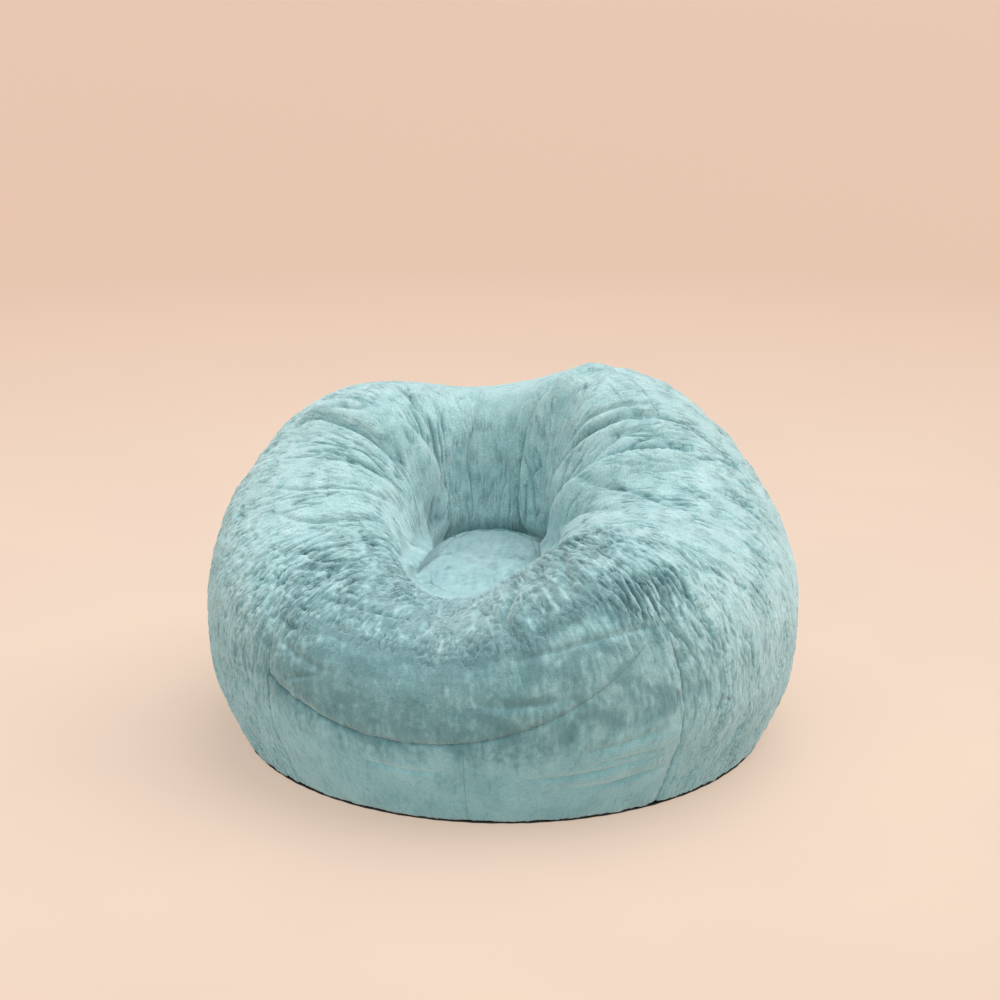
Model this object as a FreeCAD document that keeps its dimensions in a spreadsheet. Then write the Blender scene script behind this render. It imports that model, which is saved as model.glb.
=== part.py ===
"""Bean bag chair: a round plush bag with a seat hollow, two arm rolls and a low back.

Frame: millimetres, +Z up, the sitter faces -Y. The origin is the middle of the base, on
the surface that the bag stands on. Left and right in the names are as seen from the
front, so right is +X.

The bag is drawn as a profile that changes with the bearing round the bag. Bearing 0 is
the front, 90 is +X, 180 the back. The profile runs from the base edge up the wall, over
the rim, down into the hollow and across the seat, and each layer of cloth is that same
skin at another depth: fur cover outside, then the inner liner, then the bead filling.
"""
import FreeCAD, Part
import math
import os
import Sketcher
from FreeCAD import Placement, Rotation, Vector

os.makedirs("parts", exist_ok=True)
doc = FreeCAD.newDocument("BeanBagChair")

# ---------------------------------------------------------------- driving dimensions

BEARING_NAMES = ["front", "front_right", "right", "rear_right",
                 "rear", "rear_left", "left", "front_left"]

# How far the wall swells out past the base edge, and how high its widest line lies.
WALL_BULGE = [48, 64, 50, 54, 42, 58, 48, 58]
WALL_HEIGHT = [150, 172, 225, 258, 248, 244, 212, 190]
# The rim: how far it lies from the middle of the hollow, and how far above the seat.
RIM_RADIUS = [297, 308, 300, 285, 278, 312, 276, 280]
RIM_RISE = [12, 112, 125, 268, 224, 237, 160, 64]
# The crease where the hollow's wall meets the seat, from the middle of the hollow.
CREASE_RADIUS = [150, 112, 84, 104, 150, 104, 84, 112]

DIMENSIONS = {
    "base_radius": 430,
    "base_thickness": 3,
    "skirt_height": 45,          # straight lowest band of the wall, where the zip lies
    "skirt_slope": 0.45,         # outward run of that band for each unit of height
    "seat_height": 268,
    "crease_drop": 13,           # how far the seat falls towards its edge
    "seat_flat_radius": 45,
    "hollow_offset_x": -28,      # the hollow lies a little to one side
    "hollow_offset_y": -10,
    "cover_thickness": 6,        # backing and pile of the plush, pressed
    "liner_thickness": 1,
    "layer_gap": 0.8,
    "seam_gap": 0.4,
    "bottom_corner": 48,         # rounding of the filled liner's bottom edge
    "front_seam_bearing": 39,    # upright seams at both sides of the front
    "rear_seam_low": 86,         # seams between the arms and the back, up the wall
    "rear_seam_top": 117,        # where they cross the roll
    "rear_seam_inner": 150,      # and at the seat crease
    "smile_height_left": 200,    # curved seam across the front, at its left end
    "smile_height_middle": 145,  # at its middle
    "smile_height_right": 305,   # and at its right end
    "zip_length_angle": 118,     # length of the cover's zip, as an angle round the base
    "zip_line_height": 14,       # from the base edge up to the zip, along the skirt
    "zip_end_room": 7,           # angle beyond the zip where its pull can still lie
    "foot_dip_angle": 10,        # over which the back panel's foot comes down to the base
    "tape_width": 13,
    "tape_thickness": 0.7,
    "coil_diameter": 2.3,
    "coil_spacing": 3.8,         # between the two coils' middles
    "tape_split": 1.5,           # between the two tapes' inner edges
    "slider_length": 12,
    "slider_width": 10,
    "slider_plate": 1.3,
    "slider_clearance": 0.45,
    "pull_length": 21,
    "pull_width": 7,
    "pull_thickness": 1.4,
    "stop_length": 3,
    "liner_zip_length": 560,
    "liner_slot_width": 22,
}
for name, row in (("wall_bulge", WALL_BULGE), ("wall_height", WALL_HEIGHT),
                  ("rim_radius", RIM_RADIUS), ("rim_rise", RIM_RISE),
                  ("crease_radius", CREASE_RADIUS)):
    for bearing_name, number in zip(BEARING_NAMES, row):
        DIMENSIONS[name + "_" + bearing_name] = number

sheet = doc.addObject("Spreadsheet::Sheet", "sizes")
for row, (alias, number) in enumerate(DIMENSIONS.items(), start=1):
    sheet.set("A%d" % row, alias)
    sheet.set("B%d" % row, str(number))
    sheet.setAlias("B%d" % row, alias)
doc.recompute()


def size(alias):
    """The number in the sheet under this alias."""
    return float(sheet.get(alias))


def ring_sizes(name):
    """The eight sizes of one name, from the front round by the right."""
    return [size(name + "_" + bearing_name) for bearing_name in BEARING_NAMES]


BULGE = ring_sizes("wall_bulge")
HEIGHT = ring_sizes("wall_height")
RIM = ring_sizes("rim_radius")
RISE = ring_sizes("rim_rise")
CREASE = ring_sizes("crease_radius")

# ---------------------------------------------------------------- the bag's skin

# Places along the profile, about as far apart as the cloth is long between them.
BASE_EDGE = 0.0
SKIRT_TOP = 50.0
WALL = 220.0
RIM_TOP = 560.0
SEAT_CREASE = 800.0
SEAT_FLAT = 900.0

WALL_HANDLE = 0.4        # Bezier handles, as shares of the stretch they bend
ROLL_HANDLE = 0.6
LIP_HANDLE = 0.92
CREASE_HANDLE = 0.45

BASE_RADIUS = size("base_radius")
SKIRT_HEIGHT = size("skirt_height")
SLOPE = size("skirt_slope")
SEAT_HEIGHT = size("seat_height")
CREASE_DROP = size("crease_drop")
SEAT_FLAT_RADIUS = size("seat_flat_radius")

COVER_INSIDE = size("cover_thickness")
LINER_OUTSIDE = COVER_INSIDE + size("layer_gap")
LINER_INSIDE = LINER_OUTSIDE + size("liner_thickness")
FILL_OUTSIDE = LINER_INSIDE + size("layer_gap")
LINER_FLOOR = size("base_thickness") + size("seam_gap")


def around(values, bearing):
    """Smooth value at a bearing in degrees, through evenly spaced ones."""
    count = len(values)
    nothing = 1e-9
    total = 0.0
    for index, value in enumerate(values):
        turn = math.radians(bearing - 360.0 * index / count)
        turn = math.remainder(turn, 2 * math.pi)
        if abs(turn) < nothing:
            return value
        if abs(abs(turn) - math.pi) > nothing:
            total += value * math.sin(count * turn / 2) / (count * math.tan(turn / 2))
    return total


def bezier(start, near_start, near_end, end, share):
    """Point at this share of a cubic Bezier curve, for one coordinate."""
    rest = 1 - share
    return (start * rest ** 3 + 3 * near_start * share * rest ** 2
            + 3 * near_end * share ** 2 * rest + end * share ** 3)


def smooth_step(share):
    share = min(max(share, 0.0), 1.0)
    return share * share * (3 - 2 * share)


def profile(bearing, place):
    """Radius and height of the cover's outer face at a place along the profile."""
    skirt_radius = BASE_RADIUS + SLOPE * SKIRT_HEIGHT
    wall_radius = BASE_RADIUS + around(BULGE, bearing)
    wall_height = around(HEIGHT, bearing)
    rim_radius = around(RIM, bearing)
    rim_height = SEAT_HEIGHT + around(RISE, bearing)
    crease_radius = around(CREASE, bearing)
    crease_height = SEAT_HEIGHT - CREASE_DROP
    if place < SKIRT_TOP:
        share = place / SKIRT_TOP
        return BASE_RADIUS + SLOPE * SKIRT_HEIGHT * share, SKIRT_HEIGHT * share
    if place < WALL:
        share = (place - SKIRT_TOP) / (WALL - SKIRT_TOP)
        reach = WALL_HANDLE * (wall_height - SKIRT_HEIGHT)
        return (bezier(skirt_radius, skirt_radius + SLOPE * reach, wall_radius, wall_radius, share),
                bezier(SKIRT_HEIGHT, SKIRT_HEIGHT + reach, wall_height - reach, wall_height, share))
    if place < RIM_TOP:
        share = (place - WALL) / (RIM_TOP - WALL)
        return (bezier(wall_radius, wall_radius,
                       rim_radius + ROLL_HANDLE * (wall_radius - rim_radius), rim_radius, share),
                bezier(wall_height, wall_height + ROLL_HANDLE * (rim_height - wall_height),
                       rim_height, rim_height, share))
    if place < SEAT_CREASE:
        share = (place - RIM_TOP) / (SEAT_CREASE - RIM_TOP)
        width = rim_radius - crease_radius
        return (bezier(rim_radius, rim_radius - LIP_HANDLE * width,
                       crease_radius + CREASE_HANDLE * width, crease_radius, share),
                bezier(rim_height, rim_height, crease_height, crease_height, share))
    share = (place - SEAT_CREASE) / (SEAT_FLAT - SEAT_CREASE)
    return (crease_radius + (SEAT_FLAT_RADIUS - crease_radius) * share,
            crease_height + CREASE_DROP * smooth_step(share))


def skin(bearing, place):
    """Point on the cover's outer face."""
    radius, height = profile(bearing, place)
    lean = smooth_step((place - WALL) / (RIM_TOP - WALL))
    angle = math.radians(bearing)
    return Vector(lean * size("hollow_offset_x") + radius * math.sin(angle),
                  lean * size("hollow_offset_y") - radius * math.cos(angle), height)


def inward(bearing, place):
    """Unit direction from the skin straight into the bag."""
    if place == SEAT_CREASE or place == SEAT_FLAT:
        return Vector(0, 0, -1)
    step = 0.5               # along the profile
    turn = 0.1               # degrees round it
    low = max(place - step, BASE_EDGE)
    high = min(place + step, SEAT_FLAT)
    if place < SKIRT_TOP:
        high = min(high, SKIRT_TOP - step / 50)
        low = min(low, high - step)
    along = skin(bearing, high) - skin(bearing, low)
    across = skin(bearing + turn, place) - skin(bearing - turn, place)
    return along.cross(across).normalize()


def layer(bearing, place, depth):
    """Point at a depth under the skin."""
    return skin(bearing, place) + inward(bearing, place) * depth


def filled_layer(bearing, place, depth):
    """The same for the liner and the filling, whose bottom edge is rounded."""
    if place >= SKIRT_TOP:
        return layer(bearing, place, depth)
    share = place / SKIRT_TOP
    top = layer(bearing, SKIRT_TOP, depth)
    angle = math.radians(bearing)
    top_radius = top.x * math.sin(angle) - top.y * math.cos(angle)
    floor = LINER_FLOOR + depth - LINER_OUTSIDE
    flat_radius = BASE_RADIUS - size("bottom_corner")
    reach = ROLL_HANDLE * (top_radius - flat_radius)
    rise = ROLL_HANDLE * (top.z - floor)
    radius = bezier(flat_radius, flat_radius + reach, top_radius - SLOPE * rise, top_radius, share)
    height = bezier(floor, floor, top.z - rise, top.z, share)
    return Vector(radius * math.sin(angle), -radius * math.cos(angle), height)


# ---------------------------------------------------------------- smooth faces

def spread(start, end, spans):
    return [start + (end - start) * index / spans for index in range(spans + 1)]


def surface_through(rows, across, along, closed):
    """B-spline surface through a grid: one row of points for each value of along."""
    curves = []
    for row in rows:
        curve = Part.BSplineCurve()
        curve.interpolate(Points=row, Parameters=across, PeriodicFlag=closed)
        curves.append(curve)
    columns = []
    for pole_row in zip(*[curve.getPoles() for curve in curves]):
        column = Part.BSplineCurve()
        column.interpolate(Points=list(pole_row), Parameters=along)
        columns.append(column)
    surface = Part.BSplineSurface()
    surface.buildFromPolesMultsKnots(
        [column.getPoles() for column in columns],
        curves[0].getMultiplicities(), columns[0].getMultiplicities(),
        curves[0].getKnots(), columns[0].getKnots(),
        closed, False, curves[0].Degree, columns[0].Degree)
    return surface


def strip_between(curve, other):
    """Ruled face between two curves that run alike."""
    surface = Part.BSplineSurface()
    surface.buildFromPolesMultsKnots(
        [curve.getPoles(), other.getPoles()], [2, 2], curve.getMultiplicities(),
        [0, 1], curve.getKnots(), False, curve.isPeriodic(), 1, curve.Degree)
    return surface.toShape()


def closed_solid(faces):
    """One solid from faces that meet edge to edge."""
    shell = Part.makeShell(faces)
    shell.sewShape()
    if shell.ShapeType != "Shell":
        shell = shell.Shells[0]
    solid = Part.makeSolid(shell)
    if solid.Volume < 0:
        solid.reverse()
    return solid


def add_shape(label, shape):
    """A document object that holds a shape made from the sheet's sizes."""
    piece = doc.addObject("Part::Feature", label)
    piece.Label = label
    piece.Shape = shape
    piece.Placement = Placement()
    return piece


# ---------------------------------------------------------------- plush cover panels

HALF_SEAM = size("seam_gap") / 2
PANEL_FOOT = SKIRT_TOP * (size("base_thickness") + size("seam_gap")) / SKIRT_HEIGHT
SKIRT_STRETCH = math.hypot(1, SLOPE)
ZIP_LINE = size("zip_line_height")
# The back panel stops above the zip and covers the upper part of its tape.
SLIDER_ROOM = 1.0                # between the slider's edge and the back panel's
BACK_FOOT = (SKIRT_TOP * (ZIP_LINE + size("slider_width") / 2 + SLIDER_ROOM)
             / (SKIRT_HEIGHT * SKIRT_STRETCH))
CREST_SEAM = RIM_TOP - 14        # the seam along the back lies just outside the rim


def seam_turn(bearing, place):
    """Half a seam gap as an angle, at this place."""
    return math.degrees(HALF_SEAM / profile(bearing, place)[0])


HALVINGS = 40
ROUNDS = 4                       # each round brings a panel's edges nearer their seams


def place_at_height(bearing, height):
    """Place on the lower wall where the skin reaches a height."""
    low, high = SKIRT_TOP, RIM_TOP
    for _ in range(HALVINGS):
        middle = (low + high) / 2
        if profile(bearing, middle)[1] < height:
            low = middle
        else:
            high = middle
    return low


def smile(bearing):
    """Place of the curved seam across the front, a parabola through three heights."""
    share = bearing / FRONT_SEAM
    left, middle, right = [size("smile_height_" + end) for end in ("left", "middle", "right")]
    return place_at_height(bearing, middle + (right - left) / 2 * share
                           + ((left + right) / 2 - middle) * share ** 2)


def rear_seam(place):
    """Bearing of the seam behind each arm, which runs back as it rises and enters the hollow."""
    low, top, inner = [size("rear_seam_" + part) for part in ("low", "top", "inner")]
    return (low + (top - low) * smooth_step((place - WALL) / (RIM_TOP - WALL))
            + (inner - top) * smooth_step((place - RIM_TOP) / (SEAT_CREASE - RIM_TOP)))


def panel(label, side_a, side_b, foot, head, spans_across, spans_along):
    """A cloth panel between two side seams and two end seams, at its full thickness.

    side_a and side_b give a bearing for a place, foot and head a place for a bearing.
    """
    across = spread(0.0, 1.0, spans_across)
    along = spread(0.0, 1.0, spans_along)

    def where(share_across, share_along):
        bearing = side_a(WALL) + (side_b(WALL) - side_a(WALL)) * share_across
        place = 0.0
        for _ in range(ROUNDS):
            low = foot(bearing) + HALF_SEAM
            high = head(bearing) - HALF_SEAM
            place = low + (high - low) * share_along
            turn = seam_turn(bearing, place)
            start, end = side_a(place) + turn, side_b(place) - turn
            bearing = start + (end - start) * share_across
        return bearing, place

    grid = [[where(a, b) for a in across] for b in along]
    surfaces = []
    for depth in (0.0, COVER_INSIDE):
        rows = [[layer(bearing, place, depth) for bearing, place in row] for row in grid]
        surfaces.append(surface_through(rows, across, along, False))
    outer, inner = surfaces
    faces = [outer.toShape(), inner.toShape()]
    for share in (0.0, 1.0):
        faces.append(strip_between(outer.uIso(share), inner.uIso(share)))
        faces.append(strip_between(outer.vIso(share), inner.vIso(share)))
    return add_shape(label, closed_solid(faces))


def fixed(value):
    """A seam that stays at one bearing or at one place."""
    return lambda _: value


FRONT_SEAM = size("front_seam_bearing")


def back_foot(bearing):
    """The back panel's foot, which is held up over the zip and comes down beside it."""
    beside = abs(bearing - 180) - size("zip_length_angle") / 2 - size("zip_end_room")
    share = smooth_step(beside / size("foot_dip_angle"))
    return BACK_FOOT + (PANEL_FOOT - BACK_FOOT) * share


panel("front_lower_left_panel", fixed(-FRONT_SEAM), fixed(0.0), fixed(PANEL_FOOT), smile, 8, 14)
panel("front_lower_right_panel", fixed(0.0), fixed(FRONT_SEAM), fixed(PANEL_FOOT), smile, 8, 24)
panel("front_panel", fixed(-FRONT_SEAM), fixed(FRONT_SEAM), smile, fixed(SEAT_CREASE), 16, 44)
panel("left_arm_panel", lambda place: -rear_seam(place), fixed(-FRONT_SEAM),
      fixed(PANEL_FOOT), fixed(SEAT_CREASE), 16, 54)
panel("right_arm_panel", fixed(FRONT_SEAM), rear_seam,
      fixed(PANEL_FOOT), fixed(SEAT_CREASE), 16, 54)
panel("back_panel", rear_seam, lambda place: 360 - rear_seam(place),
      back_foot, fixed(CREST_SEAM), 48, 36)
panel("inner_back_panel", rear_seam, lambda place: 360 - rear_seam(place),
      fixed(CREST_SEAM), fixed(SEAT_CREASE), 22, 24)

# ---------------------------------------------------------------- layers all the way round

RING_STEP = 7.5
RING = spread(0.0, 360.0, int(360 / RING_STEP))


def ring_surface(places, depth, point):
    """Closed ring surface at a depth, through the given places."""
    rows = [[point(bearing, place, depth) for bearing in RING[:-1]] for place in places]
    return surface_through(rows, RING, places, True)


def flat_face(curve):
    return Part.Face(Part.Wire([curve.toShape()]))


def foot_and_head(surface, places):
    return surface.vIso(places[0]), surface.vIso(places[-1])


SEAT_PLACES = spread(SEAT_CREASE + HALF_SEAM, SEAT_FLAT, 5)
seat_top = ring_surface(SEAT_PLACES, 0.0, layer)
seat_under = ring_surface(SEAT_PLACES, COVER_INSIDE, layer)
seat_edges = [foot_and_head(surface, SEAT_PLACES) for surface in (seat_top, seat_under)]
add_shape("seat_panel", closed_solid([
    seat_top.toShape(), seat_under.toShape(),
    flat_face(seat_edges[0][1]), flat_face(seat_edges[1][1]),
    strip_between(seat_edges[0][0], seat_edges[1][0])]))

BODY_PLACES = (spread(BASE_EDGE, SKIRT_TOP, 6) + spread(SKIRT_TOP, WALL, 9)[1:]
               + spread(WALL, RIM_TOP, 20)[1:] + spread(RIM_TOP, SEAT_CREASE, 20)[1:]
               + spread(SEAT_CREASE, SEAT_FLAT, 6)[1:])
liner_out = ring_surface(BODY_PLACES, LINER_OUTSIDE, filled_layer)
liner_in = ring_surface(BODY_PLACES, LINER_INSIDE, filled_layer)
liner_edges = [foot_and_head(surface, BODY_PLACES) for surface in (liner_out, liner_in)]
add_shape("liner_upper", closed_solid([
    liner_out.toShape(), liner_in.toShape(),
    flat_face(liner_edges[0][1]), flat_face(liner_edges[1][1]),
    strip_between(liner_edges[0][0], liner_edges[1][0])]))

fill_skin = ring_surface(BODY_PLACES, FILL_OUTSIDE, filled_layer)
fill_edges = foot_and_head(fill_skin, BODY_PLACES)
fill_block = closed_solid([fill_skin.toShape(), flat_face(fill_edges[0]), flat_face(fill_edges[1])])

# ---------------------------------------------------------------- the base


def primitive(kind, label, sizes, placement=None):
    """A Part primitive whose sizes are bound to the sheet."""
    piece = doc.addObject("Part::" + kind, label)
    piece.Label = label
    for property_name, expression in sizes.items():
        piece.setExpression(property_name, expression)
    if placement is not None:
        piece.Placement = placement
    return piece


def cut(label, base, tool):
    piece = doc.addObject("Part::Cut", label)
    piece.Label = label
    piece.Base = base
    piece.Tool = tool
    return piece


primitive("Cone", "base_panel", {
    "Radius1": "sizes.base_radius",
    "Radius2": "sizes.base_radius + sizes.skirt_slope * sizes.base_thickness",
    "Height": "sizes.base_thickness"})

# The liner's bottom is two half moons with the zip in a slot between them.
for side, turn in (("front", 180.0), ("rear", 0.0)):
    half = primitive("Cylinder", "liner_base_%s_moon" % side, {
        "Radius": "sizes.base_radius - sizes.bottom_corner - sizes.seam_gap",
        "Height": "sizes.liner_thickness"},
        Placement(Vector(0, 0, LINER_FLOOR), Rotation(Vector(0, 0, 1), turn)))
    half.Angle = 180
    seam = primitive("Box", "liner_base_%s_seam" % side, {
        "Length": "2 * sizes.base_radius", "Width": "sizes.seam_gap",
        "Height": "2 * sizes.liner_thickness"},
        Placement(Vector(-BASE_RADIUS, -HALF_SEAM, LINER_FLOOR - size("liner_thickness") / 2),
                  Rotation()))
    slot = primitive("Box", "liner_base_%s_slot" % side, {
        "Length": "sizes.liner_zip_length", "Width": "sizes.liner_slot_width",
        "Height": "2 * sizes.liner_thickness"},
        Placement(Vector(-size("liner_zip_length") / 2, -size("liner_slot_width") / 2,
                         LINER_FLOOR - size("liner_thickness") / 2), Rotation()))
    cut("liner_base_" + side, cut("liner_base_%s_edge" % side, half, seam), slot)

# ---------------------------------------------------------------- zip sections

COIL_RADIUS = size("coil_diameter") / 2
CLEAR = size("slider_clearance")
TOUCH = 0.05                     # between pieces of the bag that lie on each other
TAPE_GAP = 0.3                   # between the cover and the tape sewn behind it
LINER_TAPE_OVERLAP = 6.0         # how far the liner's tapes reach over the cloth
STOP_GRIP = 0.4                  # how far a stop stands out round the coils and tapes


def sketch_on(body, plane_role, label, points, offset=0.0):
    """A closed outline of straight lines on one of the body's own planes."""
    plane = [feature for feature in body.Origin.OriginFeatures if feature.Role == plane_role][0]
    sketch = body.newObject("Sketcher::SketchObject", label)
    sketch.AttachmentSupport = [(plane, "")]
    sketch.MapMode = "FlatFace"
    sketch.AttachmentOffset = Placement(Vector(0, 0, offset), Rotation())
    count = len(points)
    for index in range(count):
        start = Vector(*points[index], 0)
        end = Vector(*points[(index + 1) % count], 0)
        sketch.addGeometry(Part.LineSegment(start, end), False)
    for index in range(count):
        sketch.addConstraint(Sketcher.Constraint("Coincident", index, 2, (index + 1) % count, 1))
    return sketch


def pad(body, sketch, label, length):
    """A pad whose length is a number or an expression on the sheet."""
    feature = body.newObject("PartDesign::Pad", label)
    feature.Profile = sketch
    if isinstance(length, str):
        feature.setExpression("Length", length)
    else:
        feature.Length = length
    return feature


def hole(body, label, outline):
    """A pocket with this outline right through the body."""
    feature = body.newObject("PartDesign::Pocket", label)
    feature.Profile = sketch_on(body, "XY_Plane", label + "_outline", outline)
    feature.Type = "ThroughAll"
    feature.Midplane = True
    return feature


def rectangle(x_low, x_high, y_low, y_high):
    return [(x_low, y_low), (x_high, y_low), (x_high, y_high), (x_low, y_high)]


# The cover's zip lies on the skirt, which leans outwards. A point of its section is given
# by the distance up the skirt and the depth under the cover's outer face.
UP = Vector(SLOPE, 0, 1).normalize()
IN = Vector(-1, 0, SLOPE).normalize()
TAPE_DEPTH = COVER_INSIDE + TAPE_GAP
COIL_DEPTH = TAPE_DEPTH - TOUCH - COIL_RADIUS
ZIP_START = 180 - size("zip_length_angle") / 2


def section(up_skirt, depth):
    """Radius and height of a point of the zip's section."""
    return (BASE_RADIUS + UP.x * up_skirt + IN.x * depth, UP.z * up_skirt + IN.z * depth)


def arc_piece(label, outline, start, sweep):
    """A strip with this section, bent round the base from one bearing.

    sweep is an angle in degrees or an expression on the sheet.
    """
    body = doc.addObject("PartDesign::Body", label)
    body.Label = label
    sketch = sketch_on(body, "XZ_Plane", label + "_section", outline)
    turn = body.newObject("PartDesign::Revolution", label + "_sweep")
    turn.Profile = sketch
    turn.ReferenceAxis = (sketch, ["V_Axis"])
    if isinstance(sweep, str):
        turn.setExpression("Angle", sweep)
    else:
        turn.Angle = sweep
    body.Placement = Placement(Vector(), Rotation(Vector(0, 0, 1), start - 90))
    return body


def strip(low, high, depth_low, depth_high):
    return [section(low, depth_low), section(high, depth_low),
            section(high, depth_high), section(low, depth_high)]


SPLIT = size("tape_split") / 2
TAPE_LOW = (LINER_FLOOR - IN.z * TAPE_DEPTH) / UP.z
TAPE_BACK = TAPE_DEPTH + size("tape_thickness")
arc_piece("cover_zip_tape_lower", strip(TAPE_LOW, ZIP_LINE - SPLIT, TAPE_DEPTH, TAPE_BACK),
          ZIP_START, "sizes.zip_length_angle")
arc_piece("cover_zip_tape_upper",
          strip(ZIP_LINE + SPLIT, ZIP_LINE + SPLIT + size("tape_width"), TAPE_DEPTH, TAPE_BACK),
          ZIP_START, "sizes.zip_length_angle")
for side, sign in (("lower", -1), ("upper", 1)):
    radius, height = section(ZIP_LINE + sign * size("coil_spacing") / 2, COIL_DEPTH)
    coil = primitive("Torus", "cover_zip_coil_" + side, {
        "Radius2": "sizes.coil_diameter / 2", "Angle3": "sizes.zip_length_angle"},
        Placement(Vector(0, 0, height), Rotation(Vector(0, 0, 1), ZIP_START - 90)))
    coil.Radius1 = radius

STOP_ANGLE = math.degrees(size("stop_length") / BASE_RADIUS)
TOUCH_ANGLE = math.degrees(TOUCH / BASE_RADIUS)
COIL_EDGE = size("coil_spacing") / 2 + COIL_RADIUS
stop_outline = strip(ZIP_LINE - COIL_EDGE - STOP_GRIP, ZIP_LINE + COIL_EDGE + STOP_GRIP,
                     COIL_DEPTH - COIL_RADIUS - STOP_GRIP, TAPE_BACK + STOP_GRIP)
arc_piece("cover_zip_stop_closed", stop_outline, ZIP_START - STOP_ANGLE - TOUCH_ANGLE, STOP_ANGLE)
arc_piece("cover_zip_stop_open", stop_outline,
          ZIP_START + size("zip_length_angle") + TOUCH_ANGLE, STOP_ANGLE)

# ---------------------------------------------------------------- sliders and the pull

PLATE = size("slider_plate")
SLIDER_HALF = size("slider_length") / 2
WIDE = size("slider_width") / 2
WEB = SPLIT - CLEAR
LIP = WIDE - COIL_EDGE - CLEAR
STOP_ROOM = 0.5                  # between a parked slider and the stop
MERGE = 0.1                      # how far joined blocks of one casting run into each other

# The lug is a low arch along the slider, and the pull's bar lies crosswise under it.
BAR = size("pull_thickness") / 2
BAR_CLEAR = 0.4
LUG_POST = 0.9
LUG_GAP = BAR + BAR_CLEAR + MERGE
LUG_HALF = 0.8
LUG_RISE = 2 * (BAR + BAR_CLEAR)

# Heights in a slider's own frame, from the middle of the tape towards the coils.
TAPE_HALF = size("tape_thickness") / 2
UNDER = -TAPE_HALF - CLEAR
OVER = TAPE_HALF + TOUCH + 2 * COIL_RADIUS + CLEAR
CROWN = OVER + PLATE


def slider(label, placement, with_lug):
    """A zip slider: two plates either side of the tape, joined by a web in its slit.

    Its own X runs along the zip, Y across it and Z from the tape towards the coils.
    """
    body = doc.addObject("PartDesign::Body", label)
    body.Label = label
    cheek = SLIDER_HALF * 0.55
    mouth, tail = WIDE * 0.8, WIDE * 0.6
    plan = [(-SLIDER_HALF, -mouth), (-cheek, -WIDE), (cheek, -WIDE), (SLIDER_HALF, -tail),
            (SLIDER_HALF, tail), (cheek, WIDE), (-cheek, WIDE), (-SLIDER_HALF, mouth)]

    def block(name, outline, low, length):
        pad(body, sketch_on(body, "XY_Plane", "%s_%s_outline" % (label, name), outline, low),
            "%s_%s" % (label, name), length)

    block("web", rectangle(STOP_ROOM - SLIDER_HALF, 0, -WEB, WEB), UNDER - MERGE,
          OVER - UNDER + 2 * MERGE)
    block("under_plate", plan, UNDER - PLATE, "sizes.slider_plate")
    block("over_plate", plan, OVER, "sizes.slider_plate")
    for side_name, sign in (("low", -1), ("high", 1)):
        inner, outer = sorted((sign * (WIDE - LIP), sign * WIDE))
        block(side_name + "_lip", rectangle(-cheek, cheek, inner, outer), TAPE_HALF + CLEAR,
              OVER + MERGE - TAPE_HALF - CLEAR)
    if with_lug:
        for end_name, x_low in (("tail", LUG_GAP), ("mouth", -LUG_GAP - LUG_POST)):
            block(end_name + "_post", rectangle(x_low, x_low + LUG_POST, -LUG_HALF, LUG_HALF),
                  CROWN - MERGE, LUG_RISE + 2 * MERGE)
        block("bridge", rectangle(-LUG_GAP - LUG_POST, LUG_GAP + LUG_POST, -LUG_HALF, LUG_HALF),
              CROWN + LUG_RISE, LUG_POST)
    body.Placement = placement
    return body


SLIDER_PARK = ZIP_START + math.degrees((SLIDER_HALF + STOP_ROOM) / BASE_RADIUS)


def skirt_frame(bearing, up_skirt, depth):
    """Placement on the skirt: X along the zip, Y up the skirt, Z straight out."""
    radius, height = section(up_skirt, depth)
    turn = Rotation(Vector(0, 0, 1), bearing - 90)
    along = turn.multVec(Vector(0, 1, 0))
    up = turn.multVec(UP)
    out = turn.multVec(IN * -1)
    return Placement(turn.multVec(Vector(radius, 0, height)), Rotation(along, up, out, "ZXY"))


slider("cover_zip_slider", skirt_frame(SLIDER_PARK, ZIP_LINE, TAPE_DEPTH + TAPE_HALF), True)

# The pull: a flat tab whose eye takes in the lug, with its bar on its own Y axis.
EYE_FAR = math.hypot(LUG_GAP + LUG_POST, BAR + BAR_CLEAR + LUG_POST) + BAR_CLEAR
EYE_HALF = LUG_HALF + 0.5
PULL_HALF = size("pull_width") / 2
PULL_REACH = size("pull_length")
EYE_SIDE, WAIST, TIP_SIDE = 0.8 * PULL_HALF, 0.7 * PULL_HALF, 0.6 * PULL_HALF
SHOULDER = 0.9 * PULL_REACH
pull = doc.addObject("PartDesign::Body", "cover_zip_pull")
pull.Label = "cover_zip_pull"
half_outline = [(-BAR, EYE_SIDE), (PULL_REACH / 2, WAIST), (SHOULDER, PULL_HALF),
                (PULL_REACH, TIP_SIDE)]
pull_outline = [(x, -y) for x, y in half_outline] + half_outline[::-1]
pad(pull, sketch_on(pull, "XY_Plane", "pull_outline", pull_outline, -BAR),
    "pull_tab", "sizes.pull_thickness")
hole(pull, "pull_eye", rectangle(BAR, EYE_FAR, -EYE_HALF, EYE_HALF))
hole(pull, "pull_thumb_hole", rectangle(PULL_REACH * 2 / 3, SHOULDER, -TIP_SIDE, TIP_SIDE))
pull.Placement = skirt_frame(SLIDER_PARK, ZIP_LINE,
                             TAPE_DEPTH + TAPE_HALF - CROWN - LUG_RISE / 2)

# ---------------------------------------------------------------- the liner's zip

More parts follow.
